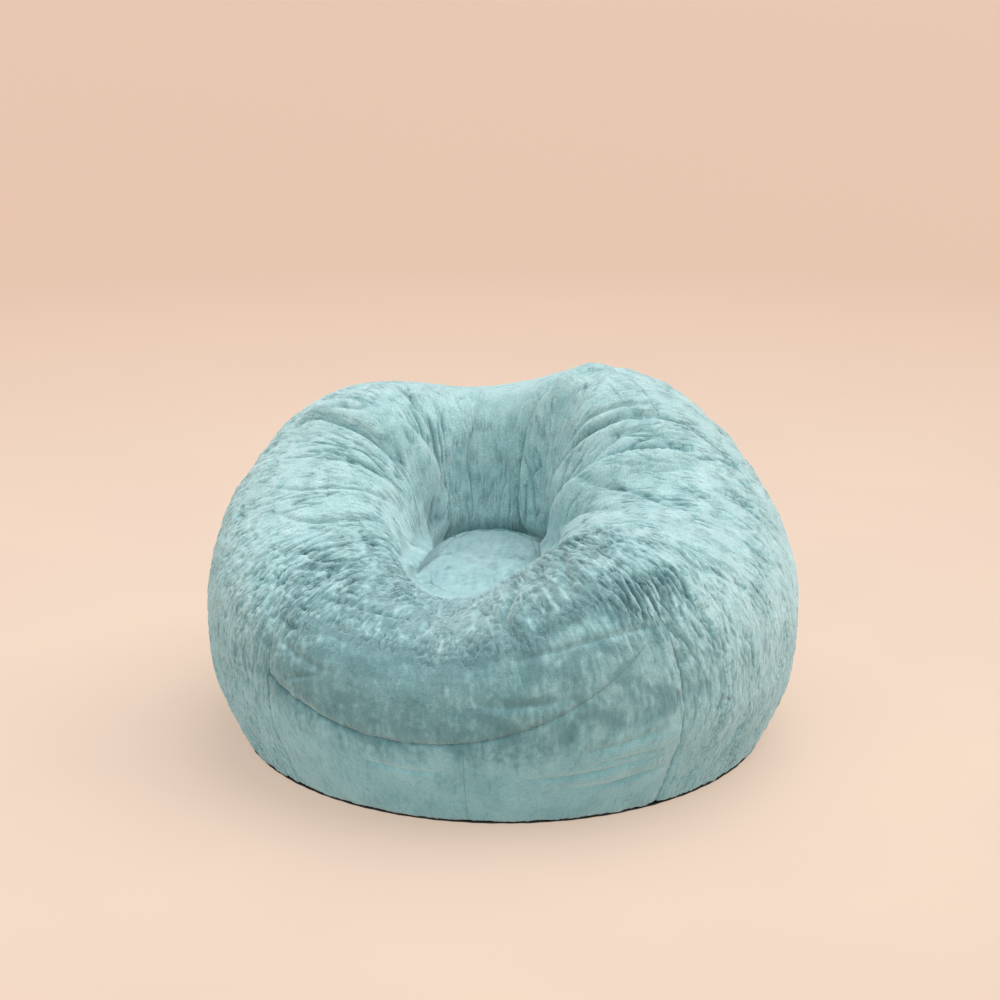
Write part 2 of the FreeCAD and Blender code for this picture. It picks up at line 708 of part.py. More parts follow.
LINER_TAPE = LINER_FLOOR + PLATE + CLEAR
LINER_COIL = LINER_TAPE + size("tape_thickness") + TOUCH + COIL_RADIUS
HALF_ZIP = size("liner_zip_length") / 2
TAPE_REACH = size("liner_slot_width") / 2 + LINER_TAPE_OVERLAP
for side, sign in (("front", -1), ("rear", 1)):
    low = min(sign * SPLIT, sign * TAPE_REACH)
    tape = primitive("Box", "liner_zip_tape_" + side, {
        "Length": "sizes.liner_zip_length", "Height": "sizes.tape_thickness"},
        Placement(Vector(-HALF_ZIP, low, LINER_TAPE), Rotation()))
    tape.Width = TAPE_REACH - SPLIT
    primitive("Cylinder", "liner_zip_coil_" + side, {
        "Radius": "sizes.coil_diameter / 2", "Height": "sizes.liner_zip_length"},
        Placement(Vector(-HALF_ZIP, sign * size("coil_spacing") / 2, LINER_COIL),
                  Rotation(Vector(0, 1, 0), 90)))

STOP_LOW = LINER_TAPE - STOP_GRIP
STOP_HIGH = LINER_COIL + COIL_RADIUS + STOP_GRIP
STOP_HALF = COIL_EDGE + STOP_GRIP
stop_boxes = []
for x_low in (-HALF_ZIP - TOUCH - size("stop_length"), HALF_ZIP + TOUCH):
    stop_boxes.append(Part.makeBox(size("stop_length"), 2 * STOP_HALF, STOP_HIGH - STOP_LOW,
                                   Vector(x_low, -STOP_HALF, STOP_LOW)))
add_shape("liner_zip_stops", Part.makeCompound(stop_boxes))

slider("liner_zip_slider",
       Placement(Vector(SLIDER_HALF + STOP_ROOM - HALF_ZIP, 0, LINER_TAPE + TAPE_HALF), Rotation()),
       False)

# The beads give way round the liner's zip, which stands up into them.
BEAD_ROOM = 1.0
GROOVE_LENGTH = 2 * (HALF_ZIP + TOUCH + size("stop_length") + BEAD_ROOM)
GROOVE_HALF = TAPE_REACH + BEAD_ROOM
GROOVE_TOP = LINER_COIL + COIL_RADIUS + CLEAR + PLATE + BEAD_ROOM
groove = Part.makeBox(GROOVE_LENGTH, 2 * GROOVE_HALF, GROOVE_TOP,
                      Vector(-GROOVE_LENGTH / 2, -GROOVE_HALF, 0))
add_shape("bean_fill", fill_block.cut(groove))

# ---------------------------------------------------------------- check and write

NODES = [
    "front_panel", "front_lower_left_panel", "front_lower_right_panel", "left_arm_panel",
    "right_arm_panel", "seat_panel", "inner_back_panel", "back_panel", "base_panel",
    "cover_zip_tape_lower", "cover_zip_tape_upper", "cover_zip_coil_lower", "cover_zip_coil_upper",
    "cover_zip_stop_closed", "cover_zip_stop_open", "cover_zip_slider", "cover_zip_pull",
    "liner_upper", "liner_base_front", "liner_base_rear", "liner_zip_tape_front",
    "liner_zip_tape_rear", "liner_zip_coil_front", "liner_zip_coil_rear", "liner_zip_stops",
    "liner_zip_slider", "bean_fill"]

doc.recompute()
for thing in doc.Objects:
    if "Invalid" in thing.State or "Error" in thing.State:
        raise RuntimeError("%s did not compute: %s" % (thing.Label, thing.State))
for node in NODES:
    piece = doc.getObjectsByLabel(node)[0]
    shape = piece.Shape
    if shape.isNull() or not shape.isValid() or shape.Volume <= 0:
        raise RuntimeError("%s has no valid solid" % node)
    box = shape.BoundBox
    print("%-24s %2d solid %10.1f cm3  x %.0f..%.0f  y %.0f..%.0f  z %.1f..%.1f" % (
        node, len(shape.Solids), shape.Volume / 1000, box.XMin, box.XMax, box.YMin, box.YMax,
        box.ZMin, box.ZMax))
    shape.exportStep("parts/%s.step" % node)
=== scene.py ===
import math

import bpy
import numpy as np
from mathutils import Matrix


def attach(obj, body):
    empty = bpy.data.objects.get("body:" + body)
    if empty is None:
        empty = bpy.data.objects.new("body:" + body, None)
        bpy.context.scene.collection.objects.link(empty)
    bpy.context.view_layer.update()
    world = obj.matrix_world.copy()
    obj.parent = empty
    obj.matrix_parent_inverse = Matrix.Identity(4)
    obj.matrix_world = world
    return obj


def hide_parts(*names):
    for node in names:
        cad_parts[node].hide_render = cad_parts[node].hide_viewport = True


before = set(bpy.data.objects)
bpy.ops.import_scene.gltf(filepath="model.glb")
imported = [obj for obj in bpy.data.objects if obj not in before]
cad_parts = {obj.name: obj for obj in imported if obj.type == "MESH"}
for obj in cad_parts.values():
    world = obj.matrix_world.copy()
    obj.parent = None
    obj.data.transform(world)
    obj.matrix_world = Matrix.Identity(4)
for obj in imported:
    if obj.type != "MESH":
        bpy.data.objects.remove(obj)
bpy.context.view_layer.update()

# ---------------------------------------------------------------- the stuffed bag
# One round bag, its cover cut in eight fur panels and a base and blown out by loose beads.
# A sitter has left a deep hollow in it, with a roll of filling down each side and a soft back.
# Lengths are metres. A place runs up the outside of the bag, over the roll and down to
# the seat, and a bearing is in degrees from the front round by the right.

BASE_RADIUS = 0.430
SKIRT_HEIGHT = 0.045
SKIRT_SLOPE = 0.45
SEAT_HEIGHT = 0.268
SEAT_DISH = 0.013
SEAT_FLAT_RADIUS = 0.045
HOLLOW_X, HOLLOW_Y = -0.028, -0.010
COVER_THICK = 0.006

# Eight sizes round the bag, from the front, every 45 degrees.
WALL_BULGE = [0.048, 0.064, 0.050, 0.054, 0.042, 0.058, 0.048, 0.058]
WALL_HEIGHT = [0.150, 0.172, 0.225, 0.258, 0.248, 0.244, 0.212, 0.190]
RIM_RADIUS = [0.297, 0.308, 0.300, 0.285, 0.278, 0.312, 0.276, 0.280]
RIM_RISE = [0.012, 0.112, 0.125, 0.268, 0.224, 0.237, 0.160, 0.064]
CREASE_RADIUS = [0.150, 0.112, 0.084, 0.104, 0.150, 0.104, 0.084, 0.112]

SKIRT_TOP, WALL, RIM_TOP, SEAT_CREASE, SEAT_FLAT = 50.0, 220.0, 560.0, 800.0, 900.0


def around(values, bearing):
    """Smooth value at each bearing, through sizes that are evenly spaced round the bag."""
    count = len(values)
    total = 0.0
    for index, value in enumerate(values):
        turn = np.radians(bearing - 360.0 * index / count)
        turn = (turn + np.pi) % (2 * np.pi) - np.pi
        turn = np.where(np.abs(turn) < 1e-7, 1e-7, turn)
        total = total + value * np.sin(count * turn / 2) / (count * np.tan(turn / 2) + 1e-15)
    return total


def bezier(start, near_start, near_end, end, share):
    """Value at this share of a curve from start to end, drawn towards the two between."""
    rest = 1 - share
    return (start * rest ** 3 + 3 * near_start * share * rest ** 2
            + 3 * near_end * share ** 2 * rest + end * share ** 3)


def smooth_step(value, low=0.0, high=1.0):
    """0 below low and 1 above high, with a soft start and a soft stop between them."""
    share = np.clip((value - low) / (high - low), 0, 1)
    return share * share * (3 - 2 * share)


def skin(bearing, place):
    """Points on the smooth bag, before any fold, seam or pile."""
    bearing, place = np.broadcast_arrays(np.asarray(bearing, float), np.asarray(place, float))
    wall_radius = BASE_RADIUS + around(WALL_BULGE, bearing)
    wall_height = around(WALL_HEIGHT, bearing)
    rim_radius = around(RIM_RADIUS, bearing)
    rim_height = SEAT_HEIGHT + around(RIM_RISE, bearing)
    crease_radius = around(CREASE_RADIUS, bearing)
    crease_height = SEAT_HEIGHT - SEAT_DISH
    skirt_radius = BASE_RADIUS + SKIRT_SLOPE * SKIRT_HEIGHT

    share = place / SKIRT_TOP
    radius = BASE_RADIUS + SKIRT_SLOPE * SKIRT_HEIGHT * share
    height = SKIRT_HEIGHT * share

    share = (place - SKIRT_TOP) / (WALL - SKIRT_TOP)
    reach = 0.4 * (wall_height - SKIRT_HEIGHT)
    on = place >= SKIRT_TOP
    radius = np.where(on, bezier(skirt_radius, skirt_radius + SKIRT_SLOPE * reach,
                                 wall_radius, wall_radius, share), radius)
    height = np.where(on, bezier(SKIRT_HEIGHT, SKIRT_HEIGHT + reach, wall_height - reach,
                                 wall_height, share), height)

    share = (place - WALL) / (RIM_TOP - WALL)
    on = place >= WALL
    radius = np.where(on, bezier(wall_radius, wall_radius,
                                 rim_radius + 0.6 * (wall_radius - rim_radius), rim_radius,
                                 share), radius)
    height = np.where(on, bezier(wall_height, wall_height + 0.6 * (rim_height - wall_height),
                                 rim_height, rim_height, share), height)

    share = (place - RIM_TOP) / (SEAT_CREASE - RIM_TOP)
    width = rim_radius - crease_radius
    on = place >= RIM_TOP
    radius = np.where(on, bezier(rim_radius, rim_radius - 0.92 * width,
                                 crease_radius + 0.45 * width, crease_radius, share), radius)
    height = np.where(on, bezier(rim_height, rim_height, crease_height, crease_height, share),
                      height)

    share = (place - SEAT_CREASE) / (SEAT_FLAT - SEAT_CREASE)
    on = place >= SEAT_CREASE
    radius = np.where(on, crease_radius + (SEAT_FLAT_RADIUS - crease_radius) * share, radius)
    height = np.where(on, crease_height + SEAT_DISH * smooth_step(share), height)

    lean = smooth_step(place, WALL, RIM_TOP)
    angle = np.radians(bearing)
    return np.stack([lean * HOLLOW_X + radius * np.sin(angle),
                     lean * HOLLOW_Y - radius * np.cos(angle), height], -1)


def unit(vectors):
    """These vectors, each one long."""
    return vectors / np.maximum(np.linalg.norm(vectors, axis=-1, keepdims=True), 1e-12)


def outward(bearing, place):
    """Unit directions straight out of the smooth bag."""
    place = np.asarray(place, float)
    low, high = np.clip(place - 1.5, 0, SEAT_FLAT), np.clip(place + 1.5, 0.5, SEAT_FLAT)
    along = skin(bearing, high) - skin(bearing, low)
    across = skin(np.asarray(bearing) + 0.2, place) - skin(np.asarray(bearing) - 0.2, place)
    return unit(np.cross(across, along))


# Folds in the cloth: points on the line (bearing, place), then in millimetres the half
# width, the depth, how far the cloth swells on the left of the line and on its right as
# it runs, seen from outside, and how far the fuller side leans over the line.
FOLDS = [
    # the deep line where the right arm's front roll laps over the roll behind it
    ([(107, 505), (106, 560), (104, 620), (107, 665), (113, 705), (120, 745), (127, 790)],
     11, 40, 30, 4, 28),
    # both arms lap over the inner back along their seams
    ([(-116, 500), (-117, 560), (-122, 620), (-134, 680), (-143, 730), (-149, 790)],
     11, 38, 2, 30, 28),
    ([(116, 520), (118, 570), (122, 620), (134, 680), (143, 730), (149, 790)], 8, 12, 8, 3, 4),
    # a second, softer line behind the left arm's edge
    ([(-104, 470), (-108, 535), (-107, 580), (-107, 620), (-109, 665), (-113, 700)],
     6, 9, 3, 5, 3),
    ([(-92, 520), (-91, 570), (-93, 625), (-97, 680)], 6, 6, 2, 3, 2),
    # pleats in the inner back
    ([(-139, 545), (-141, 600), (-145, 645), (-143, 700)], 6, 9, 3, 5, 3),
    ([(-153, 560), (-151, 605), (-153, 650)], 5, 5, 2, 2, 1),
    ([(-171, 560), (-168, 620), (-164, 660), (-162, 705)], 6, 8, 3, 3, 2),
    ([(170, 570), (172, 620), (176, 660)], 5, 4, 2, 2, 1),
    ([(147, 520), (155, 600), (162, 660), (166, 715), (166, 790)], 11, 30, 24, 2, 20),
    # creases over the right arm
    ([(121, 520), (122, 565), (125, 600), (131, 640), (140, 690)], 6, 7, 1, 2, 2),
    ([(100, 455), (103, 485), (105, 530), (112, 570), (115, 610)], 5, 4, 1, 1, 1),
    ([(118, 560), (113, 600), (112, 640), (115, 690)], 5, 5, 1, 1, 1),
    ([(72, 520), (82, 560), (90, 595), (97, 630), (104, 665)], 6, 6, 2, 1, 2),
    ([(66, 560), (76, 590), (84, 630), (94, 680), (104, 730)], 7, 5, 1, 1, 1),
    ([(47, 530), (52, 575), (60, 620), (72, 670)], 6, 4, 1, 1, 1),
    ([(84, 470), (90, 510), (96, 545)], 5, 4, 2, 2, 1),
    # creases over the left arm
    ([(-68, 490), (-61, 535), (-60, 585), (-64, 640)], 6, 6, 3, 2, 2),
    ([(-80, 480), (-76, 540), (-77, 600), (-84, 660)], 5, 5, 2, 2, 2),
    ([(-53, 495), (-46, 520), (-42, 560), (-40, 610)], 6, 6, 3, 3, 2),
    ([(-36, 470), (-28, 500), (-20, 520), (-12, 540)], 7, 5, 2, 3, 2),
    ([(-128, 725), (-123, 755), (-116, 785)], 5, 9, 3, 4, 3),
    # where the lip is pressed down in front
    ([(-10, 470), (-8, 510), (-9, 560), (-14, 620)], 8, 6, 3, 3, 2),
    ([(12, 430), (11, 480), (14, 540), (20, 600)], 8, 6, 3, 3, 2),
    ([(28, 450), (27, 500), (30, 560), (38, 620)], 8, 7, 3, 4, 2),
    # short puckers running to the right front seam, and one crease across from it
    ([(38, 208), (31, 203), (25, 193), (19, 190)], 6, 3, 1, 1, 0),
    ([(38.5, 168), (33, 158), (27, 157), (22, 150)], 5, 4, 1, 1, 0),
    ([(38.5, 142), (29, 136), (20, 121), (10, 119)], 6, 4, 2, 1, 0),
    ([(38.5, 96), (33, 92), (27, 80), (18, 77)], 5, 4, 1, 1, 0),
    ([(10, 384), (20, 381), (30, 374), (38.5, 362)], 5, 4, 2, 1, 0),
    ([(-20, 128), (-12, 124), (-3, 125)], 5, 3, 1, 1, 0),
    ([(-37, 330), (-31, 318), (-24, 316)], 6, 4, 2, 1, 0),
    ([(2, 300), (10, 292), (19, 291)], 7, 4, 1, 2, 0),
    ([(-38, 225), (-33, 262), (-27, 300)], 4, 4, 1, 2, 0),
    # the crease where the mound of the seat swells against the back
    ([(96, 786), (125, 774), (150, 766), (180, 764), (210, 766), (235, 774), (264, 786)],
     11, 20, 18, 1, 6),
    # and where the arms roll over the seat
    ([(-140, 782), (-118, 788), (-96, 790), (-76, 786), (-58, 772), (-46, 748)], 10, 9, 5, 12, 6),
    ([(40, 740), (54, 766), (72, 784), (95, 790), (118, 786), (140, 780)], 9, 14, 5, 16, 11),
    # creases that run from the lip into the seat
    ([(-14, 700), (-24, 760), (-40, 810), (-66, 850)], 7, 4, 2, 2, 1),
    ([(24, 690), (34, 750), (48, 800), (76, 845)], 7, 4, 2, 2, 1),
    ([(2, 720), (8, 775), (20, 825)], 7, 3, 1, 2, 1),
    # creases in the back, which no one sits against
    ([(150, 300), (158, 360), (163, 430), (161, 500)], 9, 8, 3, 3, 2),
    ([(-135, 260), (-142, 330), (-149, 410), (-151, 480)], 9, 8, 3, 3, 2),
    ([(182, 330), (179, 400), (181, 470)], 8, 6, 2, 2, 1),
    ([(205, 180), (196, 240), (190, 300)], 8, 5, 2, 2, 1),
    ([(128, 200), (134, 260), (140, 330)], 8, 6, 2, 2, 1),
]

# Soft swellings and dents where the beads have gathered or been pushed away:
# bearing, place, half width and height in millimetres.
SWELLINGS = [
    (92, 600, 75, 12), (84, 700, 60, 22), (62, 720, 45, 12), (128, 690, 50, 14),
    (-70, 600, 90, 5), (-112, 690, 65, 18), (-84, 730, 50, 12), (0, 545, 60, -4),
    (-28, 560, 50, 4), (20, 590, 45, 3), (180, 700, 60, -8), (0, 900, 60, 4),
    (-60, 770, 50, 8), (-100, 790, 40, 6), (0, 770, 60, 5), (60, 775, 45, 6),
    (180, 400, 120, 7), (140, 330, 90, 6), (-140, 330, 90, 6), (-90, 330, 90, 3),
]


def fold_line(points, count=48):
    """Evenly spaced points of a smooth line through these, on the skin."""
    points = np.array(points, float)
    ends = np.vstack([2 * points[0] - points[1], points, 2 * points[-1] - points[-2]])
    shares = np.linspace(0, len(points) - 1, count)
    first = np.minimum(shares.astype(int), len(points) - 2)
    t = (shares - first)[:, None]
    a, b, c, d = (ends[first + k] for k in range(4))
    line = 0.5 * (2 * b + (c - a) * t + (2 * a - 5 * b + 4 * c - d) * t ** 2
                  + (3 * b - a - 3 * c + d) * t ** 3)
    return skin(line[:, 0], line[:, 1]), outward(line[:, 0], line[:, 1])


FOLD_LINES = [fold_line(fold[0]) for fold in FOLDS]


def settle(points, out, under=False):
    """Moves points of the smooth bag into its folds and swellings.

    A layer under the pile takes the same folds drawn wider, and does not lap over them.
    Gives the moved points and how deep in a fold each one lies, from 0 to 1.
    """
    shape = points.shape
    points, out = points.reshape(-1, 3), out.reshape(-1, 3)
    move = np.zeros_like(points)
    deep = np.zeros(len(points))
    for bearing, place, half, height in SWELLINGS:
        middle = skin(bearing, place)
        far = np.linalg.norm(points - middle, axis=1) / (half / 1000)
        move += out * (height / 1000 * np.exp(-far ** 2))[:, None]
    for (_, half, depth, left, right, lean), (line, line_out) in zip(FOLDS, FOLD_LINES):
        half, depth, lean = half / 1000, depth / 1000, lean / 1000
        if under:
            half, left, right, lean = 1.6 * half + 0.007, 0, 0, 0
        reach = 6 * half + 0.012
        near = np.flatnonzero(np.all((points > line.min(0) - reach)
                                     & (points < line.max(0) + reach), axis=1))
        if not len(near):
            continue
        along = unit(np.gradient(line, axis=0))
        side = np.cross(line_out, along)
        gaps = points[near, None, :] - line[None]
        nearest = np.argmin(np.einsum("ijk,ijk->ij", gaps, gaps), axis=1)
        gap = gaps[np.arange(len(near)), nearest]
        beyond = np.einsum("ij,ij->i", gap, along[nearest])
        across = np.einsum("ij,ij->i", gap, side[nearest])
        facing = np.einsum("ij,ij->i", out[near], line_out[nearest])
        share = nearest / (len(line) - 1)
        fade = np.sin(np.pi * np.clip(share, 0, 1)) ** 0.7
        fade *= np.exp(-(np.clip(np.abs(beyond) - half / 2, 0, None) / half) ** 2)
        fade *= smooth_step(facing, 0.0, 0.5)
        far = np.sqrt(across ** 2 + 0.001 ** 2) / half
        height = -depth * np.exp(-far ** 1.15)
        for swell, where in ((left, 1.0), (right, -1.0)):
            on = across * where > 0
            height += np.where(on, swell / 1000, 0) * (1 - np.exp(-far ** 2)) * np.exp(
                -(np.clip(far - 1.5, 0, None) / 2.2) ** 2)
        fuller = 1.0 if left >= right else -1.0
        on = across * fuller > 0
        lap = np.where(on, lean, 0) * smooth_step(far, 0.05, 0.9) * np.exp(
            -((far - 1.6) / 1.2) ** 2) * smooth_step(share, 0.04, 0.34)
        move[near] += (out[near] * (height * fade)[:, None]
                       - side[nearest] * (lap * fuller * fade)[:, None])
        deep[near] = np.maximum(deep[near], np.clip(depth / 0.014, 0, 1) * fade
                                * np.exp(-(far / 0.45) ** 1.5))
    return (points + move).reshape(shape), deep.reshape(shape[:-1])


SLOPE_COLUMNS, SLOPE_ROWS = 512, 1024     # random slopes before hills come round again


def hills(across, along, turns, seed):
    """Smooth random hills one unit wide, between about -1 and 1, that meet round the bag."""
    slopes = np.random.default_rng(seed).uniform(0, 2 * np.pi, (SLOPE_COLUMNS, SLOPE_ROWS))
    x_cell, y_cell = np.floor(across), np.floor(along)
    x, y = across - x_cell, along - y_cell
    x_cell, y_cell = x_cell.astype(int), y_cell.astype(int)
    ease_x, ease_y = (t * t * t * (t * (6 * t - 15) + 10) for t in (x, y))

    def corner(i, j):
        slope = slopes[(x_cell + i) % turns % SLOPE_COLUMNS, (y_cell + j) % SLOPE_ROWS]
        return np.cos(slope) * (x - i) + np.sin(slope) * (y - j)

    low = corner(0, 0) * (1 - ease_x) + corner(1, 0) * ease_x
    high = corner(0, 1) * (1 - ease_x) + corner(1, 1) * ease_x
    return 1.6 * (low * (1 - ease_y) + high * ease_y)


def bumps(across, along, seed):
    """Smooth random hills on cloth that doesn't go round the bag."""
    return hills(across, along, SLOPE_COLUMNS, seed)


def streaks(cloth, width, length, seed):
    """Random hills this wide round the bag and this long along its profile, in metres."""
    level = np.log2(np.maximum(2 * np.pi * cloth["radius"] / width, 2))
    low = np.floor(level)
    share = smooth_step(level - low, 0.25, 0.75)
    total = 0.0
    for step, weight in ((0, 1 - share), (1, share)):
        turns = (2 ** (low + step)).astype(int)
        total = total + weight * hills(cloth["turn"] * turns, cloth["run"] / length
                                       + 37.0 * (low + step), turns, seed + 11 * step)
    return total / np.sqrt(share ** 2 + (1 - share) ** 2)


def cloth_at(bearing, place, points):
    """Where cloth lies: its turn round the bag, distance from the axis and run along it."""
    places = np.linspace(0, SEAT_FLAT, 451)
    runs = np.zeros(len(places))
    for at in (0, 90, 180, 270):
        line = skin(at, places)
        runs[1:] += np.cumsum(np.linalg.norm(np.diff(line, axis=0), axis=1)) / 4
    lean = smooth_step(place, WALL, RIM_TOP)
    radius = np.hypot(points[..., 0] - lean * HOLLOW_X, points[..., 1] - lean * HOLLOW_Y)
    return {"turn": (bearing % 360) / 360, "radius": radius,
            "x": points[..., 0], "y": points[..., 1],
            "run": np.interp(place, places, runs), "bearing": (bearing + 180) % 360 - 180,
            "place": np.asarray(place, float) + 0 * bearing}


def window(value, low, high, edge):
    """1 between low and high, fading to 0 over the edge."""
    return smooth_step(value, low - edge, low) * (1 - smooth_step(value, high, high + edge))


def valley(hill, width):
    """1 along the lines where the hills cross zero, falling off to either side."""
    return np.exp(-np.abs(hill) / width)


# Millimetres of each kind of relief: all over, and what is added to it on the arms' rolls,
# on the lip, outside, outside on the right, on the front and on the inner back.
RELIEF = {
    "lump": (1.0, 1.0, 1.8, 0.8, 0.0, 0.4, 0.0),
    "wrinkle": (0.4, 5.2, 2.6, 1.2, 0.0, 0.0, 2.4),
    "crease": (0.4, 1.8, 3.0, 2.6, -0.78, 0.8, 1.6),
    "lock": (0.6, 0.5, 1.2, 1.9, -1.045, 0.0, 0.6),
    "curl": (0.0, 0.0, 0.8, 0.8, 2.4, 0.4, 0.0),
}
OPEN_FULL_SHADE, LOCK_FULL_SHADE = 0.0034, 0.0050     # depths of relief at which the painted crevice shade is full


def pile(cloth):
    """Height of the wrinkles and locks of pile in metres, painted shade in its crevices, its
    tone with painted shade on the front, lip and seat and painted light on its rolls, and how ruffled
    its tips are."""
    right = smooth_step(cloth["bearing"], -10, 40)
    drift = streaks(cloth, 0.120, 0.140, 5)
    ragged = streaks(cloth, 0.060, 0.070, 7)
    bearing = np.abs(cloth["bearing"] + 5 * ragged)
    place = cloth["place"] + (34 * drift + 26 * ragged) * window(cloth["place"], 200, 600, 100)
    bent = dict(cloth, turn=cloth["turn"] + 0.006 * drift * np.clip(cloth["radius"], 0.1, 1),
                run=cloth["run"] + 0.012 * streaks(cloth, 0.09, 0.09, 6))
    over_roll = window(place, 380, 700, 110) * window(bearing, 42, 150, 22)
    front = window(place, 0, 400, 70) * (1 - smooth_step(bearing, 30, 60))
    lip = window(place, 430, 640, 55) * (1 - smooth_step(bearing, 38, 66))
    outside = window(place, 20, 420, 90) * smooth_step(bearing, 28, 55)
    inner_back = smooth_step(place, 575, 640) * smooth_step(bearing, 118, 150)

    zones = (1.0, over_roll, lip, outside, outside * right, front, inner_back)
    size = {kind: sum(part * zone for part, zone in zip(parts, zones)) / 1000
            for kind, parts in RELIEF.items()}
    # wrinkles and curls come here and there, and creases in other places
    here = smooth_step(streaks(cloth, 0.045, 0.075, 21), -0.10, 0.50)
    there = smooth_step(streaks(cloth, 0.036, 0.050, 22), -0.3, 0.4)
    size["wrinkle"], size["curl"] = size["wrinkle"] * here, size["curl"] * here
    size["crease"] = size["crease"] * there

    lump = streaks(cloth, 0.050, 0.090, 41)
    tuft = streaks(bent, 0.0064, 0.0150, 34)
    height = size["lump"] * lump + 0.40 * size["lock"] * tuft
    roots = 0.0
    # kind of valley, its width and length in metres, seed, how sharp it is, the level it is
    # cut from, the level from which it takes painted shade, and the depth at which that shade is full
    for kind, wide, long, seed, sharp, level, opens, depth in (
            ("wrinkle", 0.017, 0.080, 31, 0.15, 0.3, 0.25, OPEN_FULL_SHADE),
            ("crease", 0.011, 0.050, 32, 0.20, 0.35, 0.35, OPEN_FULL_SHADE),
            ("lock", 0.0076, 0.022, 33, 0.36, 0.5, 0.5, LOCK_FULL_SHADE),
            ("curl", 0.0180, 0.0150, 36, 0.16, 0.3, 0.35, OPEN_FULL_SHADE)):
        cut = valley(streaks(bent, wide, long, seed), sharp)
        height = height - size[kind] * (cut - level)
        # painted shade: the colour darkens where a valley opens deep
        roots = roots + size[kind] * np.clip(cut - opens, 0, 1) / depth
    tone = (0.5 * tuft + 0.5 * streaks(bent, 0.011, 0.045, 35)) * (
        0.35 + 0.50 * outside + 0.20 * over_roll + 0.45 * lip)
    low_front = 1 - smooth_step(place, 120, 260)
    # painted shade and light: the front, and the lip more, are darkened, less on the right and low
    # down, and the arms' rolls are lightened
    tone = tone - (0.55 - 0.22 * right - 0.50 * low_front) * front - 0.55 * lip + 0.18 * over_roll
    nap_shade_patches = streaks(cloth, 0.046, 0.040, 42)
    # painted shade: the upper front is darker still in random patches
    tone = tone - 0.30 * front * (1 - low_front) * smooth_step(nap_shade_patches, 0.05, 0.50)
    on_seat = smooth_step(cloth["place"], 700, 790)
    ruffled = (0.25 + 0.65 * over_roll + 0.55 * lip + (0.70 - 0.35 * right) * outside
               + 0.65 * inner_back)
    # all of it lies down where the seat is pressed to the panels round it
    calm = smooth_step(np.abs(cloth["place"] - SEAT_CREASE), 2, 45)
    height, roots, ruffled = height * calm, roots * calm, ruffled * calm
    # painted shade: the seat is darker
    tone = tone * calm - 0.22 * on_seat
    for size, wide, seed in ((0.0016, 0.022, 38), (0.0010, 0.009, 39)):
        height = height + size * on_seat * bumps(cloth["x"] / wide + 40, cloth["y"] / wide + 40, seed)
    return height, np.clip(roots, 0, 1), tone, np.clip(ruffled, 0, 1)


BACKING_STEP = 8     # the backing of each panel is this many times coarser than its pile
PILE_DEPTH, BACKING_GIVE = 0.0035, 0.002
SEAM_WIDE, SEAM_DARK_WIDE = 0.0038, 0.0034
LAY_RADIUS = 0.36    # the pile's dashes are laid out as if they went round the bag here
UV_NAME = "OFBake"


def steps_between(low, high, count, at):
    """Places evenly spaced along the cloth between two of them, at this bearing."""
    places = np.linspace(low, high, 400)
    line = skin(at, places)
    runs = np.concatenate([[0], np.cumsum(np.linalg.norm(np.diff(line, axis=0), axis=1))])
    return np.interp(np.linspace(0, runs[-1], count + 1), runs, places)


def set_down(name, made):
    """A mesh, a lamp or a camera as a piece of the scene."""
    piece = bpy.data.objects.new(name, made)
    bpy.context.scene.collection.objects.link(piece)
    return piece


